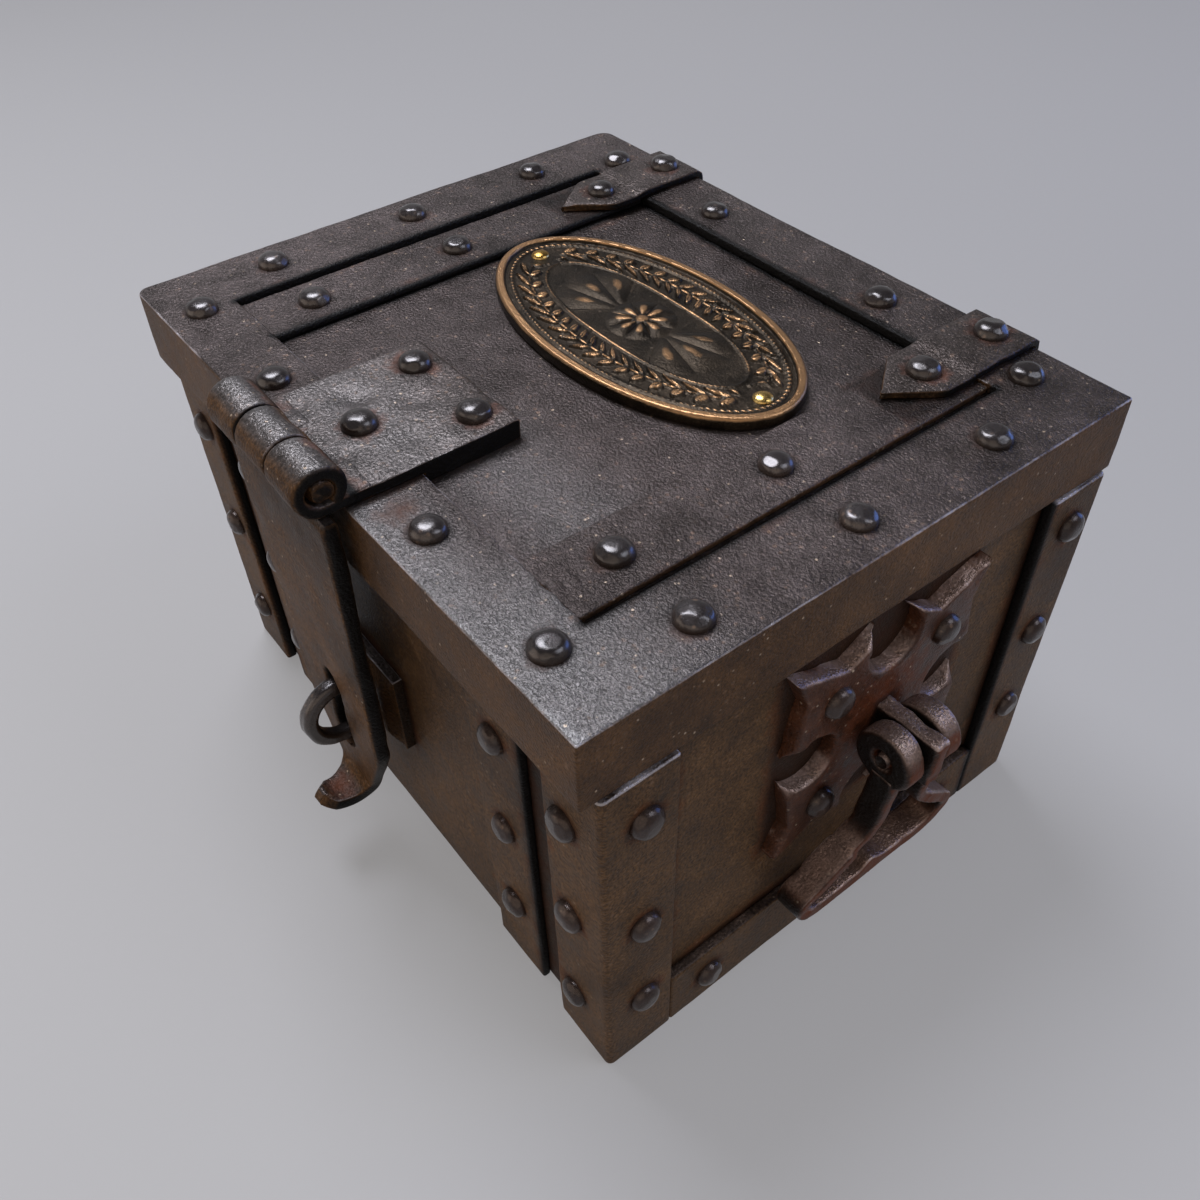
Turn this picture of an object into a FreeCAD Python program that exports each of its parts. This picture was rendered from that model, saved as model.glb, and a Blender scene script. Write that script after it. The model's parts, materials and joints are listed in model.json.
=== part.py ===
import FreeCAD, Part
import math
import os

V = FreeCAD.Vector
os.makedirs("parts", exist_ok=True)

# All sizes are in millimetres. X runs along the front, Y from front to back, Z up.
# The origin is on the floor under the middle of the lid.

# lid
lid_width = 230.0
lid_depth = 187.0
lid_bottom = 133.0
lid_top = 156.0
lid_corner_radius = 4.0
flange_thick = 3.0
skirt_thick = 8.0
front_rail_width = 22.2
back_rail_width = 24.5
side_rail_width = 26.0
lid_plate_thick = 3.0
lid_groove = 2.5
lid_strap_width = 23.9
lid_strap_thick = 2.2

# body; each inset is how far a wall stands back from the lid's edge above it
side_inset = 2.5
front_inset = 8.5
back_inset = 5.5
wall_thick = 5.0
lid_seat_gap = 0.3
strap_top_gap = 0.5
corner_leg = 23.5
corner_radius = 3.0
front_corner_thick = 4.0
side_corner_thick = 3.5
back_corner_thick = 3.0
upright_strap_thick = 2.8
upright_strap_width = 23.5
front_strap_gap = 11.0
bottom_strap_height = 25.0

# rivets; rows are given as shares of the strap or rail that they run along
rivet_radius = 4.8
rivet_height = 3.6
head_sides = 7
head_shoulder = 0.78
head_flat = 0.36
front_corner_rows = (0.83, 0.51, 0.19)
front_strap_rows = (0.83, 0.53, 0.235)
back_strap_rows = (0.45, 0.19)
side_front_rows = (0.875, 0.52, 0.225)
side_back_rows = (0.9, 0.58, 0.31)
bottom_strap_rows = (0.11, 0.52, 0.88)
corner_rivet_in = 15.0
side_rivet_front = 13.0
side_rivet_back = 11.5
bottom_rivet_z = 13.0
lid_side_rows = (-0.556, 0.0, 0.535)
lid_side_rivet_in = 12.4
lid_front_rivet_in = 11.5
lid_back_rivet_in = 14.0
lid_end_rivet_in = 25.0
lid_front_middle_row = 0.357
lid_back_middle_row = 0.322

# strap hinges at the back; distances along the lid are counted from its back edge
hinge_inset = 43.0
hinge_strap_width = 22.0
hinge_strap_thick = 2.5
hinge_reach = 52.5
hinge_shoulder = 37.5
hinge_joggle = 28.0
hinge_joggle_gap = 0.2
hinge_bend_radius = 2.4
hinge_rivets_in = (35.5, 7.0)
hinge_axis_out = 4.0
hinge_axis_drop = 3.0
hinge_knuckle_radius = 4.5
hinge_pin_radius = 2.5
hinge_middle_half = 3.7
hinge_leaf_height = 42.8
hinge_leaf_gap = 0.7
hinge_leaf_rivets = (10.8, 31.8)
hinge_web = 4.0
knuckle_gap = 0.3
knuckle_room = 1.1
pin_clearance = 0.05
pin_head_radius = 3.6
pin_head_thick = 1.4

# hasp and its hinge on the lid; the heights of the hasp are above the floor
hasp_x = -3.0
hasp_leaf_width = 50.0
hasp_leaf_thick = 3.4
hasp_leaf_reach = 52.0
hasp_leaf_round = 1.2
leaf_back_rivets = (15.0, 8.0)
leaf_front_rivet = 18.0
barrel_radius = 7.5
barrel_out = 5.0
barrel_room = 0.6
barrel_pin_radius = 3.5
barrel_pin_proud = 0.6
barrel_middle_half = 8.4
hasp_thick = 5.0
hasp_front_out = 3.0
hasp_top_gap = 0.7
hasp_half_top = 26.5
hasp_half_low = 22.6
hasp_half_curl = 11.4
hasp_half_lip = 5.8
hasp_low_z = 61.0
hasp_low_radius = 34.0
hasp_curl_z = 34.6
hasp_curl_inner = 6.7
hasp_curl_turn = 137.0
hasp_curl_radius = 22.0
hasp_lip_run = 1.9
slot_half = 4.5
slot_flat = 0.1
slot_low = 45.5
slot_high = 82.0

# staple
staple_z = 62.5
staple_loop_in = 0.5
staple_mean_radius = 10.8
staple_bar = 5.0
staple_plate_half_x = 15.0
staple_plate_half_z = 16.0
staple_plate_thick = 6.0
staple_plate_bevel = 1.5

# handles, built on the right side and mirrored to the left
handle_y = 5.5
handle_plate_z = 92.5
handle_plate_thick = 4.0
handle_plate_half_y = 36.0
handle_plate_half_z = 37.5
lobe_shares = ((0.14, 0.99), (0.47, 0.81), (1.0, 1.0), (0.86, 0.69), (0.96, 0.12))
notch_radius = 9.5
notch_top_in = 8.0
notch_side_in = 9.5
handle_rivet_y = 20.3
handle_rivet_z = 21.4
pivot_drop = 1.0
eye_radius = 11.0
eye_gap = 0.5
eye_thick = 8.0
lug_half = 3.0
lug_side_gap = 0.4
lug_below = 9.0
lug_above = 8.5
lug_end_in = 0.5
handle_pin_radius = 3.0
handle_pin_proud = 0.8
handle_half_width = 34.5
handle_drop = 67.0
handle_neck = 13.0
handle_flare = 30.0
handle_flare_radius = 18.0
handle_corner_up = 13.5
handle_corner_radius = 8.0
handle_grip_in = 6.0
handle_grip_radius = 11.0
handle_bar = 4.6
handle_bar_depth = 7.6
handle_cusp = 3.5
handle_inset = 7.6

# plaque
plaque_x = 0.5
plaque_y = 17.0
plaque_side_gap = 1.1
plaque_half_short = 32.0
plaque_thick = 4.2
plaque_rim = 3.2
plaque_sink = 1.2
plaque_pin_in = 9.4
plaque_pin_radius = 3.0
plaque_pin_height = 1.2

# cutting tools run past the piece they cut by this much
past = 1.0

# values that follow from the sizes above
half_w = lid_width / 2
half_d = lid_depth / 2
plate_top = lid_top - flange_thick
plate_low = plate_top - lid_plate_thick
wall_top = lid_bottom - lid_seat_gap
strap_top = lid_bottom - strap_top_gap
side_face = half_w - side_inset
front_face = -half_d + front_inset
back_face = half_d - back_inset
side_out = side_face + side_corner_thick
front_out = front_face - front_corner_thick
back_out = back_face + back_corner_thick
front_rail_edge = -half_d + front_rail_width
back_rail_edge = half_d - back_rail_width
side_rail_edge = half_w - side_rail_width
lid_strap_outer = side_rail_edge - lid_groove
lid_strap_inner = lid_strap_outer - lid_strap_width
inner_strap_top = plate_top + lid_strap_thick
front_strap_x = side_out - corner_leg - front_strap_gap - upright_strap_width / 2
hinge_x = half_w - hinge_inset
hinge_axis_y = half_d + hinge_axis_out
hinge_axis_z = lid_bottom - hinge_axis_drop
hinge_leaf_top = hinge_axis_z - hinge_knuckle_radius - hinge_leaf_gap
hinge_leaf_bottom = hinge_leaf_top - hinge_leaf_height
barrel_axis_y = -half_d - barrel_out
barrel_axis_z = lid_top + barrel_radius
hasp_front = barrel_axis_y - hasp_front_out
hasp_back = hasp_front + hasp_thick
hasp_leaf_back = -half_d + hasp_leaf_reach
staple_loop_y = hasp_front + staple_loop_in
plaque_half_long = lid_strap_inner - plaque_x - plaque_side_gap
plate_out = side_face + handle_plate_thick
pivot_x = plate_out + eye_radius + eye_gap
pivot_z = handle_plate_z - pivot_drop


def box(x0, x1, y0, y1, z0, z1):
    return Part.makeBox(x1 - x0, y1 - y0, z1 - z0, V(x0, y0, z0))


def rounded_wire(corners, place):
    # corners are (a, b) or (a, b, radius); place turns (a, b) into a point in space
    edges = []
    ends = []
    count = len(corners)
    for i in range(count):
        a, b = corners[i][0], corners[i][1]
        r = corners[i][2] if len(corners[i]) > 2 else 0.0
        if r == 0.0:
            ends.append(((a, b), None, (a, b)))
            continue
        pa, pb = corners[i - 1][0] - a, corners[i - 1][1] - b
        na, nb = corners[(i + 1) % count][0] - a, corners[(i + 1) % count][1] - b
        pl, nl = math.hypot(pa, pb), math.hypot(na, nb)
        pa, pb, na, nb = pa / pl, pb / pl, na / nl, nb / nl
        half = math.acos(max(-1.0, min(1.0, pa * na + pb * nb))) / 2
        reach = r / math.tan(half)
        ba, bb = pa + na, pb + nb
        bl = math.hypot(ba, bb)
        mid = r / math.sin(half) - r
        ends.append(((a + pa * reach, b + pb * reach),
                     (a + ba / bl * mid, b + bb / bl * mid),
                     (a + na * reach, b + nb * reach)))
    for i in range(count):
        start, middle, end = ends[i]
        if middle is not None:
            edges.append(Part.Arc(place(*start), place(*middle), place(*end)).toShape())
        following = ends[(i + 1) % count][0]
        if math.hypot(following[0] - end[0], following[1] - end[1]) > 1e-6:
            edges.append(Part.makeLine(place(*end), place(*following)))
    return Part.Wire(edges)


def prism_x(corners, x0, x1):
    wire = rounded_wire(corners, lambda y, z: V(x0, y, z))
    return Part.Face(wire).extrude(V(x1 - x0, 0, 0))


def prism_y(corners, y0, y1):
    wire = rounded_wire(corners, lambda x, z: V(x, y0, z))
    return Part.Face(wire).extrude(V(0, y1 - y0, 0))


def prism_z(corners, z0, z1):
    wire = rounded_wire(corners, lambda x, y: V(x, y, z0))
    return Part.Face(wire).extrude(V(0, 0, z1 - z0))


def rod_x(radius, y, z, x0, x1):
    return Part.makeCylinder(radius, x1 - x0, V(x0, y, z), V(1, 0, 0))


def rod_y(radius, x, z, y0, y1):
    return Part.makeCylinder(radius, y1 - y0, V(x, y0, z), V(0, 1, 0))


def fuse(shapes):
    whole = shapes[0]
    for shape in shapes[1:]:
        whole = whole.fuse(shape)
    return whole.removeSplitter()


def mirrored(shape):
    return shape.mirror(V(0, 0, 0), V(1, 0, 0))


def save(name, shape):
    shape.exportStep("parts/" + name + ".step")


def hammered_head(radius, height):
    # a low round head with hammered flats, narrowing in two rings to a small flat top
    rings = []
    turns = [2 * math.pi * i / head_sides for i in range(head_sides)]
    for share, z in ((1.0, 0.0), (head_shoulder, head_shoulder * height), (head_flat, height)):
        r = share * radius
        rings.append([V(r * math.cos(turn), r * math.sin(turn), z) for turn in turns])
    flats = [rings[0], rings[-1]]
    for lower, upper in zip(rings, rings[1:]):
        for i in range(head_sides):
            flats.append([lower[i - 1], lower[i], upper[i], upper[i - 1]])
    faces = [Part.Face(Part.makePolygon(flat + flat[:1])) for flat in flats]
    return Part.Solid(Part.Shell(faces))


def placed(shape, spot, outward):
    shape.Placement = FreeCAD.Placement(V(*spot), FreeCAD.Rotation(V(0, 0, 1), outward))
    return shape


def rivets(spots, outward):
    return [placed(hammered_head(rivet_radius, rivet_height), spot, outward) for spot in spots]


up = V(0, 0, 1)
to_front = V(0, -1, 0)
to_back = V(0, 1, 0)
to_right = V(1, 0, 0)

# body walls: the front and back plates run the full width, the sides stand between them
inner_front = front_face + wall_thick
inner_back = back_face - wall_thick
inner_side = side_face - wall_thick
save("bottom_plate", box(-inner_side, inner_side, inner_front, inner_back, 0, wall_thick))
save("back_plate", box(-side_face, side_face, inner_back, back_face, 0, wall_top))
right_wall = box(inner_side, side_face, inner_front, inner_back, 0, wall_top)
save("right_side_plate", right_wall)
save("left_side_plate", mirrored(right_wall))


# staple: a flat bar bent to a loop, its two legs going through the plate and the front wall
def staple_bar_at(z_mid, y0, y1):
    half = staple_bar / 2
    return box(hasp_x - half, hasp_x + half, y0, y1, z_mid - half, z_mid + half)


staple_outer = staple_mean_radius + staple_bar / 2
staple_inner = staple_mean_radius - staple_bar / 2
x0 = hasp_x - staple_bar / 2
x1 = hasp_x + staple_bar / 2
loop = rod_x(staple_outer, staple_loop_y, staple_z, x0, x1)
loop = loop.cut(rod_x(staple_inner, staple_loop_y, staple_z, x0 - past, x1 + past))
loop = loop.common(box(x0, x1, staple_loop_y - staple_outer, staple_loop_y, 0, lid_bottom))
legs = [staple_bar_at(staple_z + s * staple_mean_radius, staple_loop_y, inner_front) for s in (-1, 1)]
save("staple", fuse([loop] + legs))

front_wall = box(-side_face, side_face, front_face, inner_front, 0, wall_top)
backing = box(hasp_x - staple_plate_half_x, hasp_x + staple_plate_half_x,
              front_face - staple_plate_thick, front_face,
              staple_z - staple_plate_half_z, staple_z + staple_plate_half_z)
front_edges = [e for e in backing.Edges
               if e.BoundBox.YMax < front_face - staple_plate_thick + 0.01]
backing = backing.makeChamfer(staple_plate_bevel, front_edges)
for leg in legs:
    front_wall = front_wall.cut(leg)
    backing = backing.cut(leg)
save("front_plate", front_wall)
save("staple_plate", backing)


# corner angles: a strap bent round each upright corner of the body
def corner_angle(y_out, y_face, y_end):
    inner_end = side_out - corner_leg
    return prism_z([(inner_end, y_out), (side_out, y_out, corner_radius), (side_out, y_end),
                    (side_face, y_end), (side_face, y_face), (inner_end, y_face)], 0, strap_top)


front_leg_end = front_out + corner_leg
back_leg_end = back_out - corner_leg
front_right = corner_angle(front_out, front_face, front_leg_end)
back_right = corner_angle(back_out, back_face, back_leg_end)
save("front_right_corner_angle", front_right)
save("front_left_corner_angle", mirrored(front_right))
save("back_right_corner_angle", back_right)
save("back_left_corner_angle", mirrored(back_right))

# upright straps on the front and back, bottom straps on the sides
half_strap = upright_strap_width / 2
front_strap_face = front_face - upright_strap_thick
back_strap_face = back_face + upright_strap_thick
front_strap = box(front_strap_x - half_strap, front_strap_x + half_strap,
                  front_strap_face, front_face, 0, strap_top)
back_strap = box(hinge_x - half_strap, hinge_x + half_strap,
                 back_face, back_strap_face, 0, strap_top)
bottom_strap = box(side_face, side_out, front_leg_end, back_leg_end, 0, bottom_strap_height)
save("front_right_strap", front_strap)
save("front_left_strap", mirrored(front_strap))
save("back_right_strap", back_strap)
save("back_left_strap", mirrored(back_strap))
save("right_bottom_strap", bottom_strap)
save("left_bottom_strap", mirrored(bottom_strap))

# rivets of the body, a group of separate heads on each face
corner_rivet_x = side_out - corner_rivet_in
front_spots = []
for side in (-1, 1):
    front_spots += [(side * corner_rivet_x, front_out, row * strap_top) for row in front_corner_rows]
    front_spots += [(side * front_strap_x, front_strap_face, row * strap_top) for row in front_strap_rows]
save("front_rivets", Part.makeCompound(rivets(front_spots, to_front)))

hinge_leaf_face = back_strap_face + hinge_strap_thick
back_spots = []
for side in (-1, 1):
    back_spots += [(side * corner_rivet_x, back_out, row * strap_top) for row in front_corner_rows]
    back_spots += [(side * hinge_x, back_strap_face, row * strap_top) for row in back_strap_rows]
    back_spots += [(side * hinge_x, hinge_leaf_face, hinge_leaf_top - down) for down in hinge_leaf_rivets]
save("back_rivets", Part.makeCompound(rivets(back_spots, to_back)))

bottom_run = back_leg_end - front_leg_end
side_spots = [(side_out, front_out + side_rivet_front, row * strap_top) for row in side_front_rows]
side_spots += [(side_out, back_out - side_rivet_back, row * strap_top) for row in side_back_rows]
side_spots += [(side_out, front_leg_end + row * bottom_run, bottom_rivet_z) for row in bottom_strap_rows]
right_side_rivets = Part.makeCompound(rivets(side_spots, to_right))
save("right_side_rivets", right_side_rivets)
save("left_side_rivets", mirrored(right_side_rivets))

# lid: a plate set under the flanges of four angle rails
save("lid_plate", box(-half_w + skirt_thick, half_w - skirt_thick,
                      -half_d + skirt_thick, half_d - skirt_thick, plate_low, plate_top))


def end_rail(y_out, y_flange, y_skirt):
    r = lid_corner_radius
    flange = prism_z([(-half_w, y_out, r), (half_w, y_out, r), (half_w, y_flange), (-half_w, y_flange)],
                     plate_top, lid_top)
    skirt = prism_z([(-half_w, y_out, r), (half_w, y_out, r), (half_w, y_skirt), (-half_w, y_skirt)],
                    lid_bottom, plate_top)
    return fuse([flange, skirt])


save("lid_front_rail", end_rail(-half_d, front_rail_edge, -half_d + skirt_thick))
save("lid_back_rail", end_rail(half_d, back_rail_edge, half_d - skirt_thick))
flange = box(side_rail_edge, half_w, front_rail_edge, back_rail_edge, plate_top, lid_top)
skirt = box(half_w - skirt_thick, half_w, -half_d + skirt_thick, half_d - skirt_thick,
            lid_bottom, plate_top)
side_rail = fuse([flange, skirt])
save("lid_right_rail", side_rail)
save("lid_left_rail", mirrored(side_rail))
lid_strap = box(lid_strap_inner, lid_strap_outer, front_rail_edge, back_rail_edge,
                plate_top, inner_strap_top)
save("lid_right_strap", lid_strap)
save("lid_left_strap", mirrored(lid_strap))

frame_spots = []
strap_spots = []
strap_middle = (lid_strap_inner + lid_strap_outer) / 2
front_row_y = -half_d + lid_front_rivet_in
back_row_y = half_d - lid_back_rivet_in
for side in (-1, 1):
    frame_spots += [(side * (half_w - lid_side_rivet_in), row * half_d, lid_top) for row in lid_side_rows]
    frame_spots += [(side * (half_w - lid_end_rivet_in), y, lid_top) for y in (front_row_y, back_row_y)]
    frame_spots.append((side * lid_front_middle_row * half_w, front_row_y, lid_top))
    frame_spots.append((side * lid_back_middle_row * half_w, back_row_y, lid_top))
    strap_spots += [(side * strap_middle, row * half_d, inner_strap_top) for row in lid_side_rows[:2]]
save("lid_rail_rivets", Part.makeCompound(rivets(frame_spots, up)))
save("lid_strap_rivets", Part.makeCompound(rivets(strap_spots, up)))

# strap hinges: a spear-tipped strap steps up on to the back rail, turns down the back
# of the lid and ends in two knuckles; the leaf on the body has the middle knuckle
hinge_half = hinge_strap_width / 2
strap_low = inner_strap_top
rail_low = lid_top
t = hinge_strap_thick
hinge_tip_y = half_d - hinge_reach
hinge_shoulder_y = half_d - hinge_shoulder
joggle_start = half_d - hinge_joggle
joggle_end = back_rail_edge - hinge_joggle_gap
bend = hinge_bend_radius
side_view = [(hinge_tip_y, strap_low), (joggle_start, strap_low), (joggle_end, rail_low),
             (half_d, rail_low), (half_d, hinge_axis_z), (half_d + t, hinge_axis_z),
             (half_d + t, rail_low + t, bend), (joggle_end, rail_low + t),
             (joggle_start, strap_low + t), (hinge_tip_y, strap_low + t)]
knuckle_reach = hinge_knuckle_radius + knuckle_room
far = 4 * hinge_knuckle_radius
middle_slot = hinge_middle_half + knuckle_gap


def hinge_strap(x):
    strap = prism_x(side_view, x - hinge_half, x + hinge_half)
    plan = prism_z([(x, hinge_tip_y), (x + hinge_half, hinge_shoulder_y),
                    (x + hinge_half, half_d + far), (x - hinge_half, half_d + far),
                    (x - hinge_half, hinge_shoulder_y)], hinge_axis_z - far, lid_top + far)
    strap = strap.common(plan)
    roll = rod_x(hinge_knuckle_radius, hinge_axis_y, hinge_axis_z, x - hinge_half, x + hinge_half)
    strap = strap.fuse(roll)
    strap = strap.cut(box(x - middle_slot, x + middle_slot, half_d - past, half_d + far,
                          hinge_axis_z - far, hinge_axis_z + knuckle_reach))
    bore = rod_x(hinge_pin_radius + pin_clearance, hinge_axis_y, hinge_axis_z,
                 x - hinge_half - past, x + hinge_half + past)
    return strap.cut(bore).removeSplitter()


def hinge_leaf(x):
    plate = box(x - hinge_half, x + hinge_half, back_strap_face, hinge_leaf_face,
                hinge_leaf_bottom, hinge_leaf_top)
    web_low = hinge_leaf_top - hinge_web
    web = prism_x([(back_strap_face, web_low), (hinge_leaf_face, web_low),
                   (hinge_axis_y, hinge_axis_z - hinge_knuckle_radius), (hinge_axis_y, hinge_axis_z),
                   (back_strap_face, hinge_axis_z)], x - hinge_middle_half, x + hinge_middle_half)
    roll = rod_x(hinge_knuckle_radius, hinge_axis_y, hinge_axis_z,
                 x - hinge_middle_half, x + hinge_middle_half)
    bore = rod_x(hinge_pin_radius + pin_clearance, hinge_axis_y, hinge_axis_z,
                 x - hinge_half, x + hinge_half)
    return fuse([plate, web, roll]).cut(bore)


def hinge_pin(x):
    half = hinge_half + knuckle_gap
    pin = rod_x(hinge_pin_radius, hinge_axis_y, hinge_axis_z, x - half, x + half)
    heads = [placed(hammered_head(pin_head_radius, pin_head_thick),
                    (x + side * half, hinge_axis_y, hinge_axis_z), V(side, 0, 0)) for side in (-1, 1)]
    return fuse([pin] + heads)


strap_rivets = []
for name, x in (("left", -hinge_x), ("right", hinge_x)):
    save(name + "_hinge_strap", hinge_strap(x))
    save(name + "_hinge_leaf", hinge_leaf(x))
    save(name + "_hinge_pin", hinge_pin(x))
    for rivet_in, seat in zip(hinge_rivets_in, (inner_strap_top, lid_top)):
        strap_rivets += rivets([(x, half_d - rivet_in, seat + t)], up)
save("hinge_strap_rivets", Part.makeCompound(strap_rivets))

# hasp leaf: a thick plate on the lid, stepped down behind the front rail, rolled at the front
leaf_half = hasp_leaf_width / 2
leaf_top = lid_top + hasp_leaf_thick
leaf_x0 = hasp_x - leaf_half
leaf_x1 = hasp_x + leaf_half
leaf_step = front_rail_edge + hinge_joggle_gap
leaf = prism_x([(barrel_axis_y, lid_top), (leaf_step, lid_top), (leaf_step, plate_top),
                (hasp_leaf_back, plate_top), (hasp_leaf_back, leaf_top, hasp_leaf_round),
                (barrel_axis_y, leaf_top)], leaf_x0, leaf_x1)
leaf = leaf.fuse(rod_x(barrel_radius, barrel_axis_y, barrel_axis_z, leaf_x0, leaf_x1))
middle_gap = barrel_middle_half + knuckle_gap
leaf = leaf.cut(box(hasp_x - middle_gap, hasp_x + middle_gap, barrel_axis_y - 2 * barrel_radius,
                    barrel_axis_y + barrel_radius + barrel_room, lid_top - past, lid_top + 3 * barrel_radius))
barrel_bore = rod_x(barrel_pin_radius + pin_clearance, barrel_axis_y, barrel_axis_z,
                    leaf_x0 - past, leaf_x1 + past)
save("hasp_leaf", leaf.cut(barrel_bore).removeSplitter())
save("hasp_pin", rod_x(barrel_pin_radius, barrel_axis_y, barrel_axis_z,
                       leaf_x0 - barrel_pin_proud, leaf_x1 + barrel_pin_proud))
apart, from_back = leaf_back_rivets
leaf_spots = [(hasp_x + side * apart, hasp_leaf_back - from_back, leaf_top) for side in (-1, 1)]
leaf_spots.append((hasp_x, -half_d + leaf_front_rivet, leaf_top))
save("hasp_leaf_rivets", Part.makeCompound(rivets(leaf_spots, up)))

# hasp: a tapered strap hanging from the middle knuckle, its end curled out and up to a lip
curl_outer = hasp_curl_inner + hasp_thick
curl_y = hasp_front - hasp_curl_inner
strap_start = lid_top - hasp_top_gap


def on_curl(radius, degrees, run=0.0):
    # a point of the curl seen from the side, run past it along the curl's end
    turn = math.radians(degrees)
    y = curl_y + radius * math.cos(turn) - run * math.sin(turn)
    return V(hasp_x - hasp_half_top, y, hasp_curl_z - radius * math.sin(turn) - run * math.cos(turn))


curl_end = hasp_curl_turn
high_back = V(hasp_x - hasp_half_top, hasp_back, strap_start)
high_front = V(hasp_x - hasp_half_top, hasp_front, strap_start)
arcs = [Part.Arc(on_curl(r, 0.0), on_curl(r, curl_end / 2), on_curl(r, curl_end)).toShape()
        for r in (curl_outer, hasp_curl_inner)]
lip_corners = [on_curl(curl_outer, curl_end), on_curl(curl_outer, curl_end, hasp_lip_run),
               on_curl(hasp_curl_inner, curl_end, hasp_lip_run), on_curl(hasp_curl_inner, curl_end)]
edges = [Part.makeLine(high_back, on_curl(curl_outer, 0.0)), arcs[0]]
edges += [Part.makeLine(start, end) for start, end in zip(lip_corners, lip_corners[1:])]
edges += [arcs[1], Part.makeLine(on_curl(hasp_curl_inner, 0.0), high_front)]
edges.append(Part.makeLine(high_front, high_back))
strap = Part.Face(Part.Wire(edges)).extrude(V(2 * hasp_half_top, 0, 0))
bottom_z = hasp_curl_z - curl_outer
lip_y = curl_y - 2 * curl_outer
half_outline = [(hasp_half_top, strap_start), (hasp_half_low, hasp_low_z, hasp_low_radius),
                (hasp_half_curl, hasp_curl_z, hasp_curl_radius), (hasp_half_lip, bottom_z - past)]
half_outline += [(-c[0],) + c[1:] for c in reversed(half_outline)]
outline = prism_y([(hasp_x + c[0],) + c[1:] for c in half_outline], lip_y, hasp_back + past)
half_tongue = [(hasp_half_top, hasp_back), (hasp_half_top, hasp_front), (hasp_half_curl, hasp_front - past),
               (hasp_half_lip, curl_y), (hasp_half_lip, lip_y)]
half_tongue += [(-c[0],) + c[1:] for c in reversed(half_tongue)]
tongue = prism_z([(hasp_x + c[0],) + c[1:] for c in half_tongue], 0, lid_top)
strap = strap.common(outline).common(tongue)
neck = box(hasp_x - barrel_middle_half, hasp_x + barrel_middle_half, hasp_front, hasp_back,
           strap_start - past, barrel_axis_z)
roll = rod_x(barrel_radius, barrel_axis_y, barrel_axis_z,
             hasp_x - barrel_middle_half, hasp_x + barrel_middle_half)
slot_round = slot_half - slot_flat
slot = prism_y([(hasp_x + a * slot_half, z, slot_round)
                for a, z in ((-1, slot_low), (1, slot_low), (1, slot_high), (-1, slot_high))],
               hasp_front - past, hasp_back + past)
hasp = fuse([strap, neck, roll]).cut(barrel_bore).cut(slot)
save("hasp", hasp.removeSplitter())

# handle backplate: four pointed lobes round four circular bites
ny = handle_plate_half_y
nz = handle_plate_half_z
lobe = [(a * ny, b * nz) for a, b in lobe_shares]
right_edge = lobe + [(a, -b) for a, b in reversed(lobe)]
around = right_edge + [(-a, -b) for a, b in right_edge]
handle_plate = prism_x([(handle_y + a, handle_plate_z + b) for a, b in around], side_face, plate_out)
notch_up = nz - notch_top_in
notch_out = ny - notch_side_in
for dy, dz in ((0, notch_up), (0, -notch_up), (notch_out, 0), (-notch_out, 0)):
    bite = rod_x(notch_radius, handle_y + dy, handle_plate_z + dz, side_face - past, plate_out + past)
    handle_plate = handle_plate.cut(bite)
plate_spots = [(plate_out, handle_y + a * handle_rivet_y, handle_plate_z + b * handle_rivet_z)
               for a in (-1, 1) for b in (-1, 1)]
plate_rivets = Part.makeCompound(rivets(plate_spots, to_right))

# lug, pin and the drop handle that turns on it
lug = box(plate_out, pivot_x + eye_radius - lug_end_in, handle_y - lug_half, handle_y + lug_half,
          pivot_z - lug_below, pivot_z + lug_above)
lug = lug.cut(rod_y(handle_pin_radius, pivot_x, pivot_z,
                    handle_y - lug_half - past, handle_y + lug_half + past))
eye_near = lug_half + lug_side_gap
eye_far = eye_near + eye_thick
handle_pin = rod_y(handle_pin_radius, pivot_x, pivot_z,
                   handle_y - eye_far - handle_pin_proud, handle_y + eye_far + handle_pin_proud)

# the loop is its front view, a flared stirrup with a small cusp in the grip, cut through
# a bar that leans in towards the box
hw = handle_half_width
low = -handle_drop
corner = low + handle_corner_up
grip = low + handle_bar
half_outer = [(eye_far, 0.0), (eye_far, -handle_flare, handle_flare_radius),
              (hw, corner, handle_corner_radius), (hw - handle_grip_in, low, handle_grip_radius)]
arm_in = eye_far - handle_bar
half_inner = [(arm_in, past), (arm_in, -handle_flare - handle_bar / 2, handle_flare_radius),
              (hw - handle_bar, corner - past, handle_corner_radius / 2),
              (hw - handle_grip_in - handle_bar, grip, handle_grip_in)]
outer_loop = half_outer + [(-c[0],) + c[1:] for c in reversed(half_outer)]
inner_loop = half_inner + [(0.0, grip + handle_cusp)] + [(-c[0],) + c[1:] for c in reversed(half_inner)]
reach0 = plate_out
reach1 = pivot_x + eye_radius


def at_pivot(corners):
    return [(handle_y + c[0], pivot_z + c[1]) + tuple(c[2:]) for c in corners]


frame = prism_x(at_pivot(outer_loop), reach0, reach1)
frame = frame.cut(prism_x(at_pivot(inner_loop), reach0 - past, reach1 + past))
deep = handle_bar_depth / 2
lean = [(0.0, past), (0.0, -handle_neck), (-handle_inset, low - past)]
band = [(pivot_x + c[0] + deep, pivot_z + c[1]) for c in lean]
band += [(pivot_x + c[0] - deep, pivot_z + c[1]) for c in reversed(lean)]
handle = frame.common(prism_y(band, handle_y - hw - past, handle_y + hw + past))
for side in (-1, 1):
    y_low = handle_y + (eye_near if side > 0 else -eye_far)
    handle = handle.fuse(rod_y(eye_radius, pivot_x, pivot_z, y_low, y_low + eye_thick))
handle = handle.cut(rod_y(handle_pin_radius + pin_clearance, pivot_x, pivot_z,
                          handle_y - eye_far - past, handle_y + eye_far + past)).removeSplitter()

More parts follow.
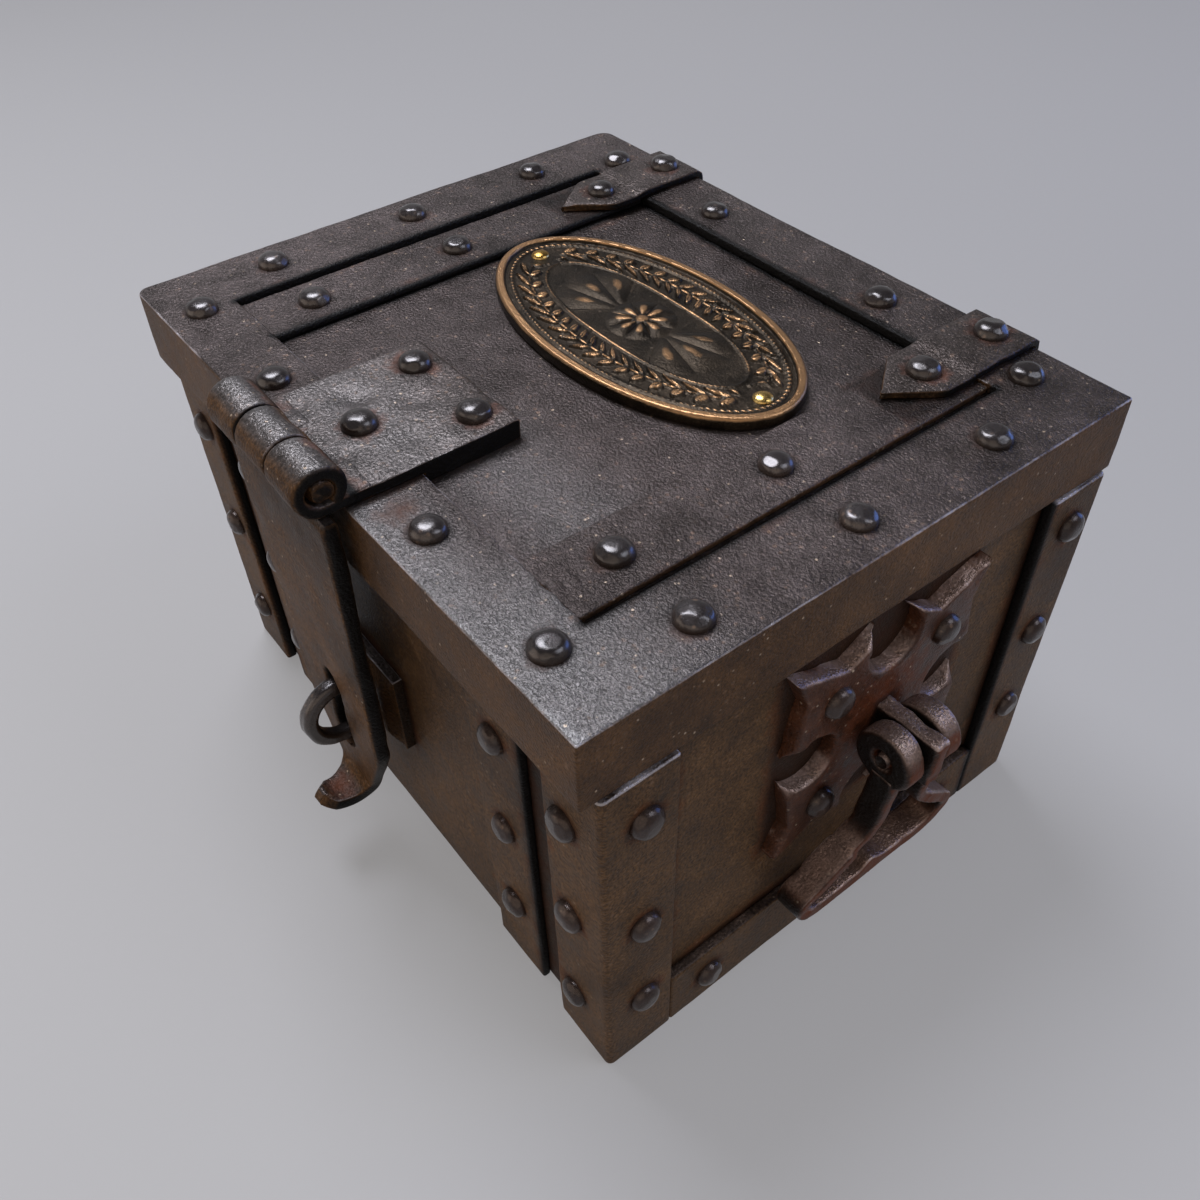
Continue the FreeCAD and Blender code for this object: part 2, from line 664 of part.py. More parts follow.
for name, shape in (("handle_plate", handle_plate), ("handle_plate_rivets", plate_rivets),
                    ("handle_lug", lug), ("handle_pin", handle_pin), ("drop_handle", handle)):
    save("right_" + name, shape)
    save("left_" + name, mirrored(shape))


# plaque: an oval plate with a raised rim, held by two round-headed pins
def oval(grow, z0, z1):
    ring = Part.Ellipse(V(plaque_x, plaque_y, z0), plaque_half_long + grow, plaque_half_short + grow)
    return Part.Face(Part.Wire([ring.toShape()])).extrude(V(0, 0, z1 - z0))


plaque_top = plate_top + plaque_thick
field = plaque_top - plaque_sink
plaque = oval(0.0, plate_top, plaque_top).cut(oval(-plaque_rim, field, plaque_top + past))
save("plaque", plaque)
pins = []
for side in (-1, 1):
    pin = hammered_head(plaque_pin_radius, plaque_pin_height)
    pin.translate(V(plaque_x + side * (plaque_half_long - plaque_pin_in), plaque_y, field))
    pins.append(pin)
save("plaque_pins", Part.makeCompound(pins))
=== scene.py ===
import json

import bmesh
import bpy
import numpy as np
from mathutils import Matrix, Vector
from mathutils.geometry import delaunay_2d_cdt


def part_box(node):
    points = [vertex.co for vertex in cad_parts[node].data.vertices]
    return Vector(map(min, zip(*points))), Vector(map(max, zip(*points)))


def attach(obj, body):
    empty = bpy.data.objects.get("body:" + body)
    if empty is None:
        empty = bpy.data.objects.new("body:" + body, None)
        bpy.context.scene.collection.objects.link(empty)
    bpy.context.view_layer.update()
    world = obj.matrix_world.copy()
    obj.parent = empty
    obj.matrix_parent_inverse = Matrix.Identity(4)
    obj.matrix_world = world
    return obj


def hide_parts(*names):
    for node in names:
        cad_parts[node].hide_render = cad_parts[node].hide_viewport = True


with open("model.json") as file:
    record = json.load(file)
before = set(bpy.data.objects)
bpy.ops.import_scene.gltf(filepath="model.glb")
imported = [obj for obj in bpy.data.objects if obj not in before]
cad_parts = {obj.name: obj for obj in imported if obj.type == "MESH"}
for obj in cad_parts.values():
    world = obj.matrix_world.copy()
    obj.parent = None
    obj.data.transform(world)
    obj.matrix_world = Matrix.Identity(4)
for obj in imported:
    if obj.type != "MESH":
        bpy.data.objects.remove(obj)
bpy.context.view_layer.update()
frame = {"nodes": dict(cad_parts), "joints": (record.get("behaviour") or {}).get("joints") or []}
mm = 0.001
print("stage 1: frame loaded")


# small helpers; every shape below is worked out in millimetres and made in metres

def boxMm(node):
    # lowest and highest corner of a CAD node
    low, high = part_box(node)
    return np.array(low) / mm, np.array(high) / mm


def unit(vectors):
    # each vector divided by its own length
    return vectors / np.maximum(np.linalg.norm(vectors, axis=-1, keepdims=True), 1e-12)


def norms(vectors):
    # the length of each vector
    return np.linalg.norm(vectors, axis=-1)


def runAlong(path):
    # the length of a path up to each of its points
    return np.concatenate([[0], np.cumsum(norms(np.diff(path, axis=0)))])


def nearest(points, others):
    # from each point to the nearest of the others
    return norms(points[:, None] - others[None]).min(1)


def atEdge(away, edge):
    # how far a face has fallen this far in from its rounded edge: a quarter circle
    return edge - np.sqrt(edge ** 2 - np.clip(edge - away, 0, edge) ** 2)


def roundedEnd(radius, cap, count):
    # distances along and in for the rounded end of a shape, a quarter circle, with its flat cap first
    angle = np.linspace(0, np.pi / 2, count)
    along = np.concatenate([[0], radius * (1 - np.cos(angle))])
    return along, np.concatenate([[cap * radius], radius * (1 - np.sin(angle))])


def winding(flat):
    # 1 for an outline that runs anticlockwise, -1 for clockwise: the sign of its area
    after = np.roll(flat, -1, axis=0)
    return np.sign(np.sum(flat[:, 0] * after[:, 1] - after[:, 0] * flat[:, 1]))


def smooth(value, low, high):
    # eased step: 0 below low, 1 above high, 3t2 - 2t3 between them
    t = np.clip((value - low) / (high - low), 0, 1)
    return t * t * (3 - 2 * t)


# numbers that scatter the heights of a lattice so that no order shows
hashing = {"shift": 17.3, "way": (127.1, 311.7, 74.7), "gain": 43758.5453}


def lumps(points, size, seed):
    # value noise: a random height on each point of a lattice, eased from one to the next, -1 to 1
    place = points / size + hashing["shift"] * seed
    cell = np.floor(place)
    part = place - cell
    part = part * part * (3 - 2 * part)
    total = np.zeros(len(points))
    for corner in np.ndindex(2, 2, 2):
        heights = np.sin((cell + corner) @ np.array(hashing["way"])) * hashing["gain"]
        share = np.prod(np.where(corner, part, 1 - part), axis=1)
        total += share * (heights - np.floor(heights))
    return 2 * total - 1


def grid(rows, cols, closeRows=False, closeCols=False):
    # quads between neighbouring points of a grid, wrapping round where asked
    i, j = np.meshgrid(np.arange(rows if closeRows else rows - 1),
                       np.arange(cols if closeCols else cols - 1), indexing="ij")
    down = (i + 1) % rows
    right = (j + 1) % cols
    quads = np.stack([i * cols + j, i * cols + right, down * cols + right, down * cols + j], -1)
    return quads.reshape(-1, 4)


def tube(rings, closed=False):
    # rings of points joined one to the next; the two ends of an open tube are shut flat
    count, around = rings.shape[:2]
    caps = [] if closed else [np.arange(around), np.arange((count - 1) * around, count * around)]
    return rings.reshape(-1, 3), grid(count, around, closed, True), caps


def joined(shapes):
    # several closed shapes kept as one piece
    verts = []
    quads = []
    caps = []
    start = 0
    for v, q, c in shapes:
        verts.append(v)
        quads.append(q + start)
        caps += [cap + start for cap in c]
        start += len(v)
    return np.concatenate(verts), np.concatenate(quads), caps


def mirroredX(shape):
    # the same shape on the other side of the middle plane
    return shape[0] * np.array([-1, 1, 1]), shape[1], shape[2]


def stations(low, high, radius, step):
    # places along an edge: evenly turned round both rounded ends, then evenly spaced
    turn = radius * np.tan(np.linspace(0, np.pi / 4, 4))
    count = max(2, int(np.ceil((high - low - 2 * radius) / step)) + 1)
    middle = np.linspace(low + radius, high - radius, count)
    return np.concatenate([low + radius - turn[:0:-1], middle, high - radius + turn[1:]])


def block(low, high, radius, step=2.5):
    # rounded block: each point of a box is drawn in to radius from the nearest point of its core
    low = np.asarray(low, float)
    high = np.asarray(high, float)
    mostShare = 0.49
    radius = min(radius, mostShare * (high - low).min())
    axes = [stations(low[k], high[k], radius, step) for k in range(3)]
    verts = []
    quads = []
    start = 0
    for k in range(3):
        a, b = (k + 1) % 3, (k + 2) % 3
        u, v = np.meshgrid(axes[a], axes[b], indexing="ij")
        for level in (low[k], high[k]):
            points = np.empty(u.shape + (3,))
            points[..., k] = level
            points[..., a] = u
            points[..., b] = v
            verts.append(points.reshape(-1, 3))
            quads.append(grid(*u.shape) + start)
            start += u.size
    verts = np.concatenate(verts)
    core = np.clip(verts, low + radius, high - radius)
    verts = core + radius * unit(verts - core)
    verts, where = np.unique(np.round(verts, 4), axis=0, return_inverse=True)
    return verts, where.reshape(-1)[np.concatenate(quads)], []


def densified(points, step, closed=True):
    # extra points along the straight runs of an outline
    ends = np.roll(points, -1, axis=0) if closed else points[1:]
    runs = []
    for start, end in zip(points, ends):
        count = max(1, int(np.ceil(np.linalg.norm(end - start) / step)))
        runs.append(start + (end - start) * np.linspace(0, 1, count, endpoint=False)[:, None])
    if not closed:
        runs.append(points[-1:])
    return np.concatenate(runs)


def softened(points, width, step=0.5):
    # an outline set out at even steps, each point then the mean of its neighbours over a width
    closed = np.concatenate([points, points[:1]])
    length = runAlong(closed)
    spots = np.linspace(0, length[-1], int(length[-1] / step), endpoint=False)
    even = np.stack([np.interp(spots, length, closed[:, k]) for k in range(2)], 1)
    reach = int(width / step / 2)
    return sum(np.roll(even, shift, axis=0) for shift in range(-reach, reach + 1)) / (2 * reach + 1)


def outline(corners, step=1.5):
    # polygon whose corners (a, b, radius) are turned with arcs
    spots = np.array([c[:2] for c in corners], float)
    points = []
    for i, corner in enumerate(corners):
        back = unit(spots[i - 1] - spots[i])
        ahead = unit(spots[(i + 1) % len(spots)] - spots[i])
        half = np.arccos(np.clip(back @ ahead, -1, 1)) / 2
        radius = corner[2]
        centre = spots[i] + unit(back + ahead) * radius / np.sin(half)
        first = spots[i] + back * radius / np.tan(half) - centre
        last = spots[i] + ahead * radius / np.tan(half) - centre
        sweep = np.pi - 2 * half
        t = np.linspace(0, 1, max(4, int(radius * sweep / (0.5 * step)) + 2))[:, None]
        points.append(centre + (np.sin((1 - t) * sweep) * first + np.sin(t * sweep) * last) / np.sin(sweep))
    return densified(np.concatenate(points), step)


# how far the flat end of a shape is drawn in, in radii of its rounded end
capInset = {"prism": 1.35, "bar": 1.3}


def prism(flat, low, high, axis, bevel, step=2.5):
    # an outline carried straight along an axis, drawn in round its two ends by a quarter circle
    along = np.roll(flat, -1, axis=0) - np.roll(flat, 1, axis=0)
    out = winding(flat) * unit(np.stack([along[:, 1], -along[:, 0]], 1))
    count = max(2, int(np.ceil((high - low - 2 * bevel) / step)) + 1)
    end, inset = roundedEnd(bevel, capInset["prism"], 5)
    middle = np.linspace(low + bevel, high - bevel, count)[1:-1]
    level = np.concatenate([low + end, middle, high - end[::-1]])
    inset = np.concatenate([inset, np.zeros(len(middle)), inset[::-1]])
    ring = flat[None] - inset[:, None, None] * out[None]
    level = np.broadcast_to(level[:, None, None], ring.shape[:2] + (1,))
    order = {"x": (2, 0, 1), "z": (0, 1, 2)}[axis]
    return tube(np.concatenate([ring, level], 2)[..., order])


def closedSheet(front, back, quads):
    # two faces of a sheet, shut by a wall along every edge that only one quad uses
    count = len(front)
    start, end = quads.ravel(), np.roll(quads, -1, axis=1).ravel()
    loose = ~np.isin(end * count + start, start * count + end)
    walls = np.stack([end, start, start + count, end + count], 1)[loose]
    return np.concatenate([front, back]), np.concatenate([quads, quads[:, ::-1] + count, walls]), []


def slab(flat, low, high, edge, step, tips, tipRun, tipThin):
    # plate facing +x: an outline filled with triangles, its face falling off by a quarter circle at the edge
    # and thinning to a share of itself at its tips
    shares = (0.3, 0.65, 1.0)
    rowGap = 0.87 * step
    base, top = flat.min(0), flat.max(0)
    a, b = np.meshgrid(np.arange(base[0], top[0], step), np.arange(base[1], top[1], rowGap))
    a = a + 0.5 * step * (np.arange(len(a)) % 2)[:, None]
    fill = np.stack([a.ravel(), b.ravel()], 1)
    after = np.roll(flat, -1, axis=0)
    level = (fill[:, 1:] - flat[:, 1]) / (after[:, 1] - flat[:, 1] + 1e-9)
    crossed = (level >= 0) & (level < 1) & (flat[:, 0] + level * (after[:, 0] - flat[:, 0]) > fill[:, :1])
    fill = fill[(crossed.sum(1) % 2 == 1) & (nearest(fill, flat) > edge + 0.5 * step)]
    along = unit(after - np.roll(flat, 1, axis=0))
    inward = winding(flat) * np.stack([-along[:, 1], along[:, 0]], 1)
    rims = np.concatenate([flat + inward * edge * share for share in shares])
    rims = rims[nearest(rims, flat) > 0.97 * edge * np.repeat(shares, len(flat))]
    spots = np.concatenate([flat, rims, fill])
    count = len(flat)
    ring = np.stack([np.arange(count), np.roll(np.arange(count), -1)], 1)
    faces = delaunay_2d_cdt([Vector(spot) for spot in spots], ring.tolist(), [], 1, 1e-5)[2]
    fall = atEdge(nearest(spots, flat), edge)
    slim = tipThin + (1 - tipThin) * smooth(nearest(spots, tips), 0, tipRun)
    front = np.column_stack([low + (high - low - fall) * slim, spots])
    behind = np.column_stack([np.full(len(spots), low), spots])
    walls = np.concatenate([ring, ring[:, ::-1] + len(spots)], 1)
    caps = [np.array(face) for face in faces] + [np.array(face)[::-1] + len(spots) for face in faces]
    return np.concatenate([front, behind]), walls, caps


def bar(path, side, halfSide, halfThick, radius, closed=False, step=1.5):
    # rounded rectangle carried along a path: point = path + side * a + normal * b
    path = np.asarray(path, float)
    loop = np.concatenate([path, path[:1]]) if closed else path
    length = runAlong(loop)
    total = length[-1]
    count = max(4, int(np.ceil(total / step)))
    if closed:
        spots = np.linspace(0, total, count, endpoint=False)
        inset = np.zeros(count)
    else:
        end, shrink = roundedEnd(radius, capInset["bar"], 4)
        middle = np.linspace(radius, total - radius, count)[1:-1]
        spots = np.concatenate([end, middle, total - end[::-1]])
        inset = np.concatenate([shrink, np.zeros(len(middle)), shrink[::-1]])
    probe = 0.4
    centre, ahead, behind = [np.stack([np.interp(spots + shift, length, loop[:, k]) for k in range(3)], 1)
                             for shift in (0, probe, -probe)]
    if closed:
        ahead = np.roll(centre, -1, axis=0)
        behind = np.roll(centre, 1, axis=0)
    tangent = unit(ahead - behind)
    side = np.broadcast_to(np.asarray(side, float), centre.shape)
    normal = unit(np.cross(tangent, side))
    across = np.broadcast_to(halfSide, len(path))
    through = np.broadcast_to(halfThick, len(path))
    if closed:
        across = np.append(across, across[0])
        through = np.append(through, through[0])
    across = np.interp(spots, length, across)[:, None]
    through = np.interp(spots, length, through)[:, None]
    turn = np.linspace(0, np.pi / 2, 4)
    parts = []
    for quarter, (sa, sb) in enumerate(((1, 1), (-1, 1), (-1, -1), (1, -1))):
        around = turn + quarter * np.pi / 2
        parts.append(np.stack([np.full(4, sa), np.full(4, sb), np.cos(around), np.sin(around)], 1))
        nextA, nextB = ((-1, 1), (-1, -1), (1, -1), (1, 1))[quarter]
        flat = np.linspace(0, 1, 7)[1:-1]
        last = quarter * np.pi / 2 + np.pi / 2
        parts.append(np.stack([sa + (nextA - sa) * flat, sb + (nextB - sb) * flat,
                               np.full(5, np.cos(last)), np.full(5, np.sin(last))], 1))
    section = np.concatenate(parts)
    roundMost, capMost = 0.98, 0.4
    rim = np.minimum(radius, roundMost * np.minimum(across, through))
    left = np.clip(rim - inset[:, None], 0, None)
    extra = np.clip(inset[:, None] - rim, 0, None)
    a = section[:, 0] * (across - rim - np.minimum(extra, capMost * (across - rim))) + left * section[:, 2]
    b = section[:, 1] * (through - rim - np.minimum(extra, capMost * (through - rim))) + left * section[:, 3]
    return tube(centre[:, None] + side[:, None] * a[..., None] + normal[:, None] * b[..., None], closed)


def lathe(profile, base, outward, around=36):
    # a profile of (radius, height) turned about an axis
    turn = np.linspace(0, 2 * np.pi, around, endpoint=False)
    outward = unit(np.asarray(outward, float))
    first = unit(np.cross(outward, (0.3, 0.9, 0.2)))
    second = np.cross(outward, first)
    ring = np.cos(turn)[:, None] * first + np.sin(turn)[:, None] * second
    profile = np.asarray(profile, float)
    return tube(base + profile[:, 0, None, None] * ring[None] + profile[:, 1, None, None] * outward)


def arc(centre, radius, start, stop, count=24):
    # points on a circle from one angle to another, in degrees
    turn = np.radians(np.linspace(start, stop, count))
    return np.asarray(centre, float) + radius * np.stack([np.cos(turn), np.sin(turn)], 1)


def alongYZ(points, x):
    # a path in the plane across the box at one x
    return np.column_stack([np.full(len(points), x), points])


def strip(path, x, half, halfThick, edge):
    # a flat bar bent in that plane, its width along x
    return bar(alongYZ(path, x), (1, 0, 0), half, halfThick, edge)


def vertexVectors(mesh, label):
    # one vector per vertex of a mesh: its place or its normal
    values = np.zeros(3 * len(mesh.vertices))
    mesh.vertices.foreach_get(label, values)
    return values.reshape(-1, 3)


def solidsOf(node):
    # the box of each separate solid in a CAD node, found by spreading the lowest label over faces
    mesh = frame["nodes"][node].data
    corners = np.zeros(len(mesh.loops), int)
    mesh.loops.foreach_get("vertex_index", corners)
    spots, where = np.unique(np.round(vertexVectors(mesh, "co") / mm, 2), axis=0, return_inverse=True)
    faces = where.reshape(-1)[corners].reshape(-1, 3)
    label = np.arange(len(spots))
    sweeps = 20
    for sweep in range(sweeps):
        lowest = label[faces].min(1)
        for k in range(3):
            np.minimum.at(label, faces[:, k], lowest)
    return [(spots[label == one].min(0), spots[label == one].max(0)) for one in np.unique(label)]


def linear(code):
    # an sRGB hex colour as the linear colour that shaders take
    srgb = np.array([int(code[k:k + 2], 16) for k in (1, 3, 5)]) / 255
    return tuple(np.where(srgb <= 0.04045, srgb / 12.92, ((srgb + 0.055) / 1.055) ** 2.4)) + (1.0,)


def addNode(tree, kind, values, **settings):
    # one shader node: settings are its own properties, values fill or link its sockets
    node = tree.nodes.new("ShaderNode" + kind)
    for key, value in settings.items():
        setattr(node, key, value)
    for socket, value in values.items():
        if isinstance(value, bpy.types.NodeSocket):
            tree.links.new(value, node.inputs[socket])
        else:
            node.inputs[socket].default_value = value
    return node


def shader(tree, kind, values, **settings):
    # the first output of a new node
    return addNode(tree, kind, values, **settings).outputs[0]


def perMm(size):
    # texture scale for a pattern of this size in millimetres
    return 1000 / size


def freshTree(owner):
    # the emptied node tree of a material or a world
    owner.use_nodes = True
    owner.node_tree.nodes.clear()
    return owner.node_tree


def noise(tree, spot, size, detail, roughness, distortion=0.0):
    # cloudy noise from 0 to 1 with lumps of this size in millimetres
    values = {"Vector": spot, "Scale": perMm(size), "Detail": detail, "Roughness": roughness,
              "Distortion": distortion}
    return shader(tree, "TexNoise", values)


def cells(tree, spot, size):
    # scattered points this far apart: the distance to the nearest one, and its random colour
    values = {"Vector": spot, "Scale": perMm(size), "Randomness": 1.0}
    return addNode(tree, "TexVoronoi", values, feature="F1").outputs


def span(tree, value, low=0.0, high=1.0, first=0.0, last=1.0, **settings):
    # ramp: first up to low, last from high on
    values = {"Value": value, 1: low, 2: high, 3: first, 4: last}
    return shader(tree, "MapRange", values, **settings)


def maths(tree, operation, *values):
    # one sum on two or three values
    return shader(tree, "Math", dict(enumerate(values)), operation=operation)


def blend(tree, share, under, over):
    # two plain values: under + share * (over - under)
    return shader(tree, "Mix", {0: share, 2: under, 3: over})


def tinted(tree, share, under, over):
    # two colours, each a hex code or a socket: under + share * (over - under)
    under, over = [linear(one) if isinstance(one, str) else one for one in (under, over)]
    return addNode(tree, "Mix", {0: share, 6: under, 7: over}, data_type="RGBA").outputs[2]


def dimmed(tree, colour, amount):
    # a colour times a plain value
    return shader(tree, "VectorMath", {0: colour, 1: amount}, operation="MULTIPLY")


# what the skin of every piece is marked with, vertex by vertex: wear, rust, painted shade with darker sides,
# a painted top sheen with rubbing, and polish with a painted sheen
marks = ("wear", "rust", "soot", "rubAndSheen", "polishAndSheen")

# what all metals share: detail and roughness of noises, where masks begin and end, heights of bumps in mm
layers = {"cloud": (4.0, 0.6), "mottle": (8.0, 0.68), "wrinkle": (2.0, 0.55, 0.3), "grain": (3.0, 0.6),
          "shade": (0.14, 0.38), "rubSheenPatch": 0.5, "rubAndSheen": (0.45, 1.15), "hollow": (0.34, 0.58),
          "speck": (0.36, 0.64), "fade": 0.35, "fleck": (0.3, 0.16), "patch": (0.5, 0.64),
          "dustShare": (0.6, 1.0), "dustDot": (0.17, 0.09), "wearPatch": 0.9, "rough": (0.3, 0.7),
          "rustRough": 0.75, "rustMetallic": 0.1, "pit": (0.0, 0.3),
          "bumps": {"pit": 0.3, "mottle": 0.6, "wrinkle": 0.8, "grain": 0.3}}


def metal(name, look):
    # weathered metal, each layer blended over the last by its mask: cloudy patina, a painted grey top sheen
    # where rubbed, polish with a painted sheen, rust, flecks, dust, bare metal where worn and painted shade,
    # over bumps of pits, mottle, wrinkles, grain
    material = bpy.data.materials.new(name)
    tree = freshTree(material)
    spot = addNode(tree, "TexCoord", {}).outputs["Object"]
    wear, rust, soot, rubAndSheen, polishAndSheen = [addNode(tree, "Attribute", {}, attribute_name=mark).outputs["Fac"]
                                     for mark in marks]
    cloud, mottle, wrinkle, grain = [noise(tree, spot, look[kind + "Mm"], *layers[kind])
                                     for kind in ("cloud", "mottle", "wrinkle", "grain")]
    pits = cells(tree, spot, look["pitMm"])["Distance"]
    shade = span(tree, maths(tree, "MULTIPLY", cloud, mottle), *layers["shade"])
    colour = tinted(tree, shade, look["dark"], look["light"])
    # painted top sheen with rubbing: upward faces turn grey, smoother and more metallic, as if lit from
    # above
    rubSheenMask = maths(tree, "MULTIPLY_ADD", mottle, layers["rubSheenPatch"], rubAndSheen)
    rubSheenMask = span(tree, rubSheenMask, *layers["rubAndSheen"], last=look["rubSheenMost"])
    colour = tinted(tree, rubSheenMask, colour, tinted(tree, shade, look["rubSheenDark"], look["rubSheenLight"]))
    # polish with a painted sheen: a pale grey laid over the marked runs
    colour = tinted(tree, polishAndSheen, colour, look["polishAndSheen"])
    colour = dimmed(tree, colour, span(tree, wrinkle, *layers["hollow"], look["hollowDark"]))
    colour = dimmed(tree, colour, span(tree, grain, *layers["speck"], look["speckDark"], look["speckLight"]))
    rustMask = maths(tree, "MULTIPLY_ADD", rust, look["rustGain"], mottle)
    rustFull = look["rustFrom"] + layers["fade"]
    rustMask = span(tree, rustMask, look["rustFrom"], rustFull, last=look["rustMost"])
    colour = tinted(tree, rustMask, colour, look["rust"])
    patches = span(tree, mottle, *layers["patch"], last=look["fleckMost"])
    flecks = maths(tree, "MULTIPLY", span(tree, pits, *layers["fleck"]), patches)
    colour = tinted(tree, flecks, colour, look["fleck"])
    dust = cells(tree, spot, look["dustMm"])
    strong = addNode(tree, "SeparateXYZ", {"Vector": dust["Color"]}).outputs["X"]
    strong = span(tree, strong, *layers["dustShare"], last=look["dustMost"])
    dots = maths(tree, "MULTIPLY", span(tree, dust["Distance"], *layers["dustDot"]), strong)
    colour = tinted(tree, dots, colour, look["dust"])
    wearMask = maths(tree, "MULTIPLY_ADD", mottle, layers["wearPatch"], wear)
    wearFull = look["wearFrom"] + layers["fade"]
    wearMask = span(tree, wearMask, look["wearFrom"], wearFull, last=look["wearMost"])
    colour = tinted(tree, wearMask, colour, look["bare"])
    # painted shade: near-black laid in gaps, round feet and beside parts, and on darker sides
    colour = tinted(tree, soot, colour, look["soot"])
    rough = span(tree, mottle, *layers["rough"], look["smoothest"], look["roughest"])
    rough = maths(tree, "MULTIPLY_ADD", rubSheenMask, -look["rubSheenSmooth"], rough)
    rough = blend(tree, rustMask, rough, layers["rustRough"])
    rough = blend(tree, wearMask, rough, look["bareRough"])
    metallic = span(tree, rubSheenMask, first=look["metallic"], last=look["rubSheenMetallic"])
    metallic = blend(tree, rustMask, metallic, layers["rustMetallic"])
    heights = {"pit": span(tree, pits, *layers["pit"]), "mottle": mottle, "wrinkle": wrinkle, "grain": grain}
    normal = {}
    for kind, height in heights.items():
        values = {"Strength": look[kind + "Depth"], "Distance": layers["bumps"][kind] * mm, "Height": height}
        normal = {"Normal": shader(tree, "Bump", {**values, **normal})}
    values = {"Base Color": colour, "Roughness": rough, "Metallic": metallic,
              "Specular IOR Level": look["gloss"], "Coat Weight": look["wax"],
              "Coat Roughness": look["waxRough"], **normal}
    surface = shader(tree, "BsdfPrincipled", values)
    addNode(tree, "OutputMaterial", {"Surface": surface})
    return material


print("stage 2: tools ready")

# materials: sizes of patterns in mm, colours, then how far each layer shows
ironLook = {"cloudMm": 60, "mottleMm": 9, "wrinkleMm": 0.85, "grainMm": 0.45, "pitMm": 2.4, "dustMm": 2.8,
            "dark": "#412d1c", "light": "#6a4d32", "rubSheenDark": "#312d2c", "rubSheenLight": "#524d4e",
            "rust": "#4f2d1b", "bare": "#b4afb3", "polishAndSheen": "#82807f", "fleck": "#8f7562",
            "soot": "#0d0b0a", "dust": "#c4b09a", "hollowDark": 0.62, "speckDark": 0.72, "speckLight": 1.25,
            "rustGain": 0.4, "rustFrom": 0.76, "rustMost": 0.7, "fleckMost": 0.45, "dustMost": 0.7,
            "wearFrom": 1.05, "wearMost": 0.7, "rubSheenMost": 0.85, "smoothest": 0.42, "roughest": 0.57,
            "rubSheenSmooth": 0.2, "bareRough": 0.3, "metallic": 0.1, "rubSheenMetallic": 0.65, "gloss": 0.2,
            "wax": 0.0, "waxRough": 0.2, "pitDepth": 0.25, "mottleDepth": 0.3, "wrinkleDepth": 0.65,
            "grainDepth": 0.5}

# sand-cast lid iron: brown on its sides, a painted silver-grey sheen on top where it is also rubbed, with a
# fine pitted skin
lidIron = metal("rubbedCastIronPaintedSheen", ironLook)

# cast body iron with a brown patina: warm, duller and finer in the grain than the lid, a painted grey sheen
# on its upward faces
bodyIron = metal("brownCastIron", dict(
    ironLook, dark="#3f2d1d", light="#6b5036", rust="#66351c", rustGain=0.5, smoothest=0.44, roughest=0.6,
    gloss=0.18, rubSheenSmooth=0.1, pitDepth=0.1, wrinkleDepth=0.5, fleckMost=0.4, dustMost=0.4, rubSheenMost=0.6,
    grainMm=0.9, speckDark=0.6, speckLight=1.35))

# hammered wrought iron: brown-black flats, a painted grey sheen on upward faces where rubbed, rust in the
# hollows
forgedIron = metal("hammeredWroughtIron", dict(
    ironLook, dark="#3d2917", light="#694b2f", rust="#6b3a22", rubSheenDark="#3c3735", rubSheenLight="#645e5d",
    mottleDepth=0.5, wrinkleDepth=0.5, rustFrom=0.72, rustMost=0.8, gloss=0.15, grainMm=0.9, speckDark=0.6,
    speckLight=1.35))

# oiled rusty wrought iron of the handles: red-brown, wet-looking, a painted silver highlight on its upward
# faces and edges
handleIron = metal("oiledRustyIron", dict(
    ironLook, dark="#321c11", light="#5a3521", rubSheenDark="#5f453a", rubSheenLight="#95796a", rust="#643219",
    bare="#d0bbb4", mottleMm=6, mottleDepth=0.6, wrinkleDepth=0.4, rustFrom=0.64, rustMost=0.8,
    rubSheenMetallic=0.75, smoothest=0.34, roughest=0.48, rubSheenSmooth=0.18, gloss=0.2, wearFrom=0.95,
    hollowDark=0.7, grainMm=0.8, speckDark=0.8, speckLight=1.15, wearMost=0.4, polishAndSheen="#a8948b", wax=0.1))

# rivet heads rubbed smooth: brown-grey with soft cool highlights and a painted grey sheen on their upper
# sides
rivetIron = metal("rubbedRivetIronPaintedSheen", dict(
    ironLook, dark="#261d19", light="#40342e", rubSheenDark="#2a2524", rubSheenLight="#454040", wax=0.6,
    waxRough=0.23, smoothest=0.2, roughest=0.32, rubSheenSmooth=0.0, metallic=0.35, rubSheenMetallic=0.6, gloss=0.5,
    wearFrom=1.3, pitDepth=0.1, mottleDepth=0.4, wrinkleDepth=0.08, grainDepth=0.08, rustFrom=1.0,
    hollowDark=0.9, dustMost=0.2))

# rivet heads on the body, left brown: dark, with a rusty foot, small dull highlights and a painted grey
# sheen on top
bodyRivetIron = metal("brownRivetIron", dict(
    ironLook, dark="#241813", light="#3b2a22", rubSheenDark="#332925", rubSheenLight="#564842", smoothest=0.24,
    roughest=0.36, rubSheenSmooth=0.0, metallic=0.2, gloss=0.3, wax=0.35, wearFrom=1.3, pitDepth=0.1,
    mottleDepth=0.5, wrinkleDepth=0.12, grainDepth=0.12, hollowDark=0.9, dustMost=0.2))

# cast bronze with a black patina rubbed back to copper on the high relief
bronze = metal("patinatedCastBronze", dict(
    ironLook, dark="#26211b", light="#40372d", rubSheenMost=0.0, bare="#a9825c", wearFrom=0.78, wearMost=0.95,
    smoothest=0.3, roughest=0.5, metallic=0.9, pitDepth=0.05, mottleDepth=0.2, wrinkleDepth=0.2,
    grainDepth=0.3, fleckMost=0.1, dustMost=0.2, hollowDark=0.8))

# turned brass rubbed bright: the one warm yellow in the picture
brass = metal("rubbedBrass", dict(
    ironLook, dark="#a8813f", light="#e2c179", rubSheenMost=0.0, bare="#f2d796", smoothest=0.22, roughest=0.34,
    metallic=1.0, pitDepth=0.05, mottleDepth=0.1, wrinkleDepth=0.1, grainDepth=0.15, rustFrom=1.2,
    fleckMost=0.0, dustMost=0.0, hollowDark=0.9))
print("stage 3: materials ready")
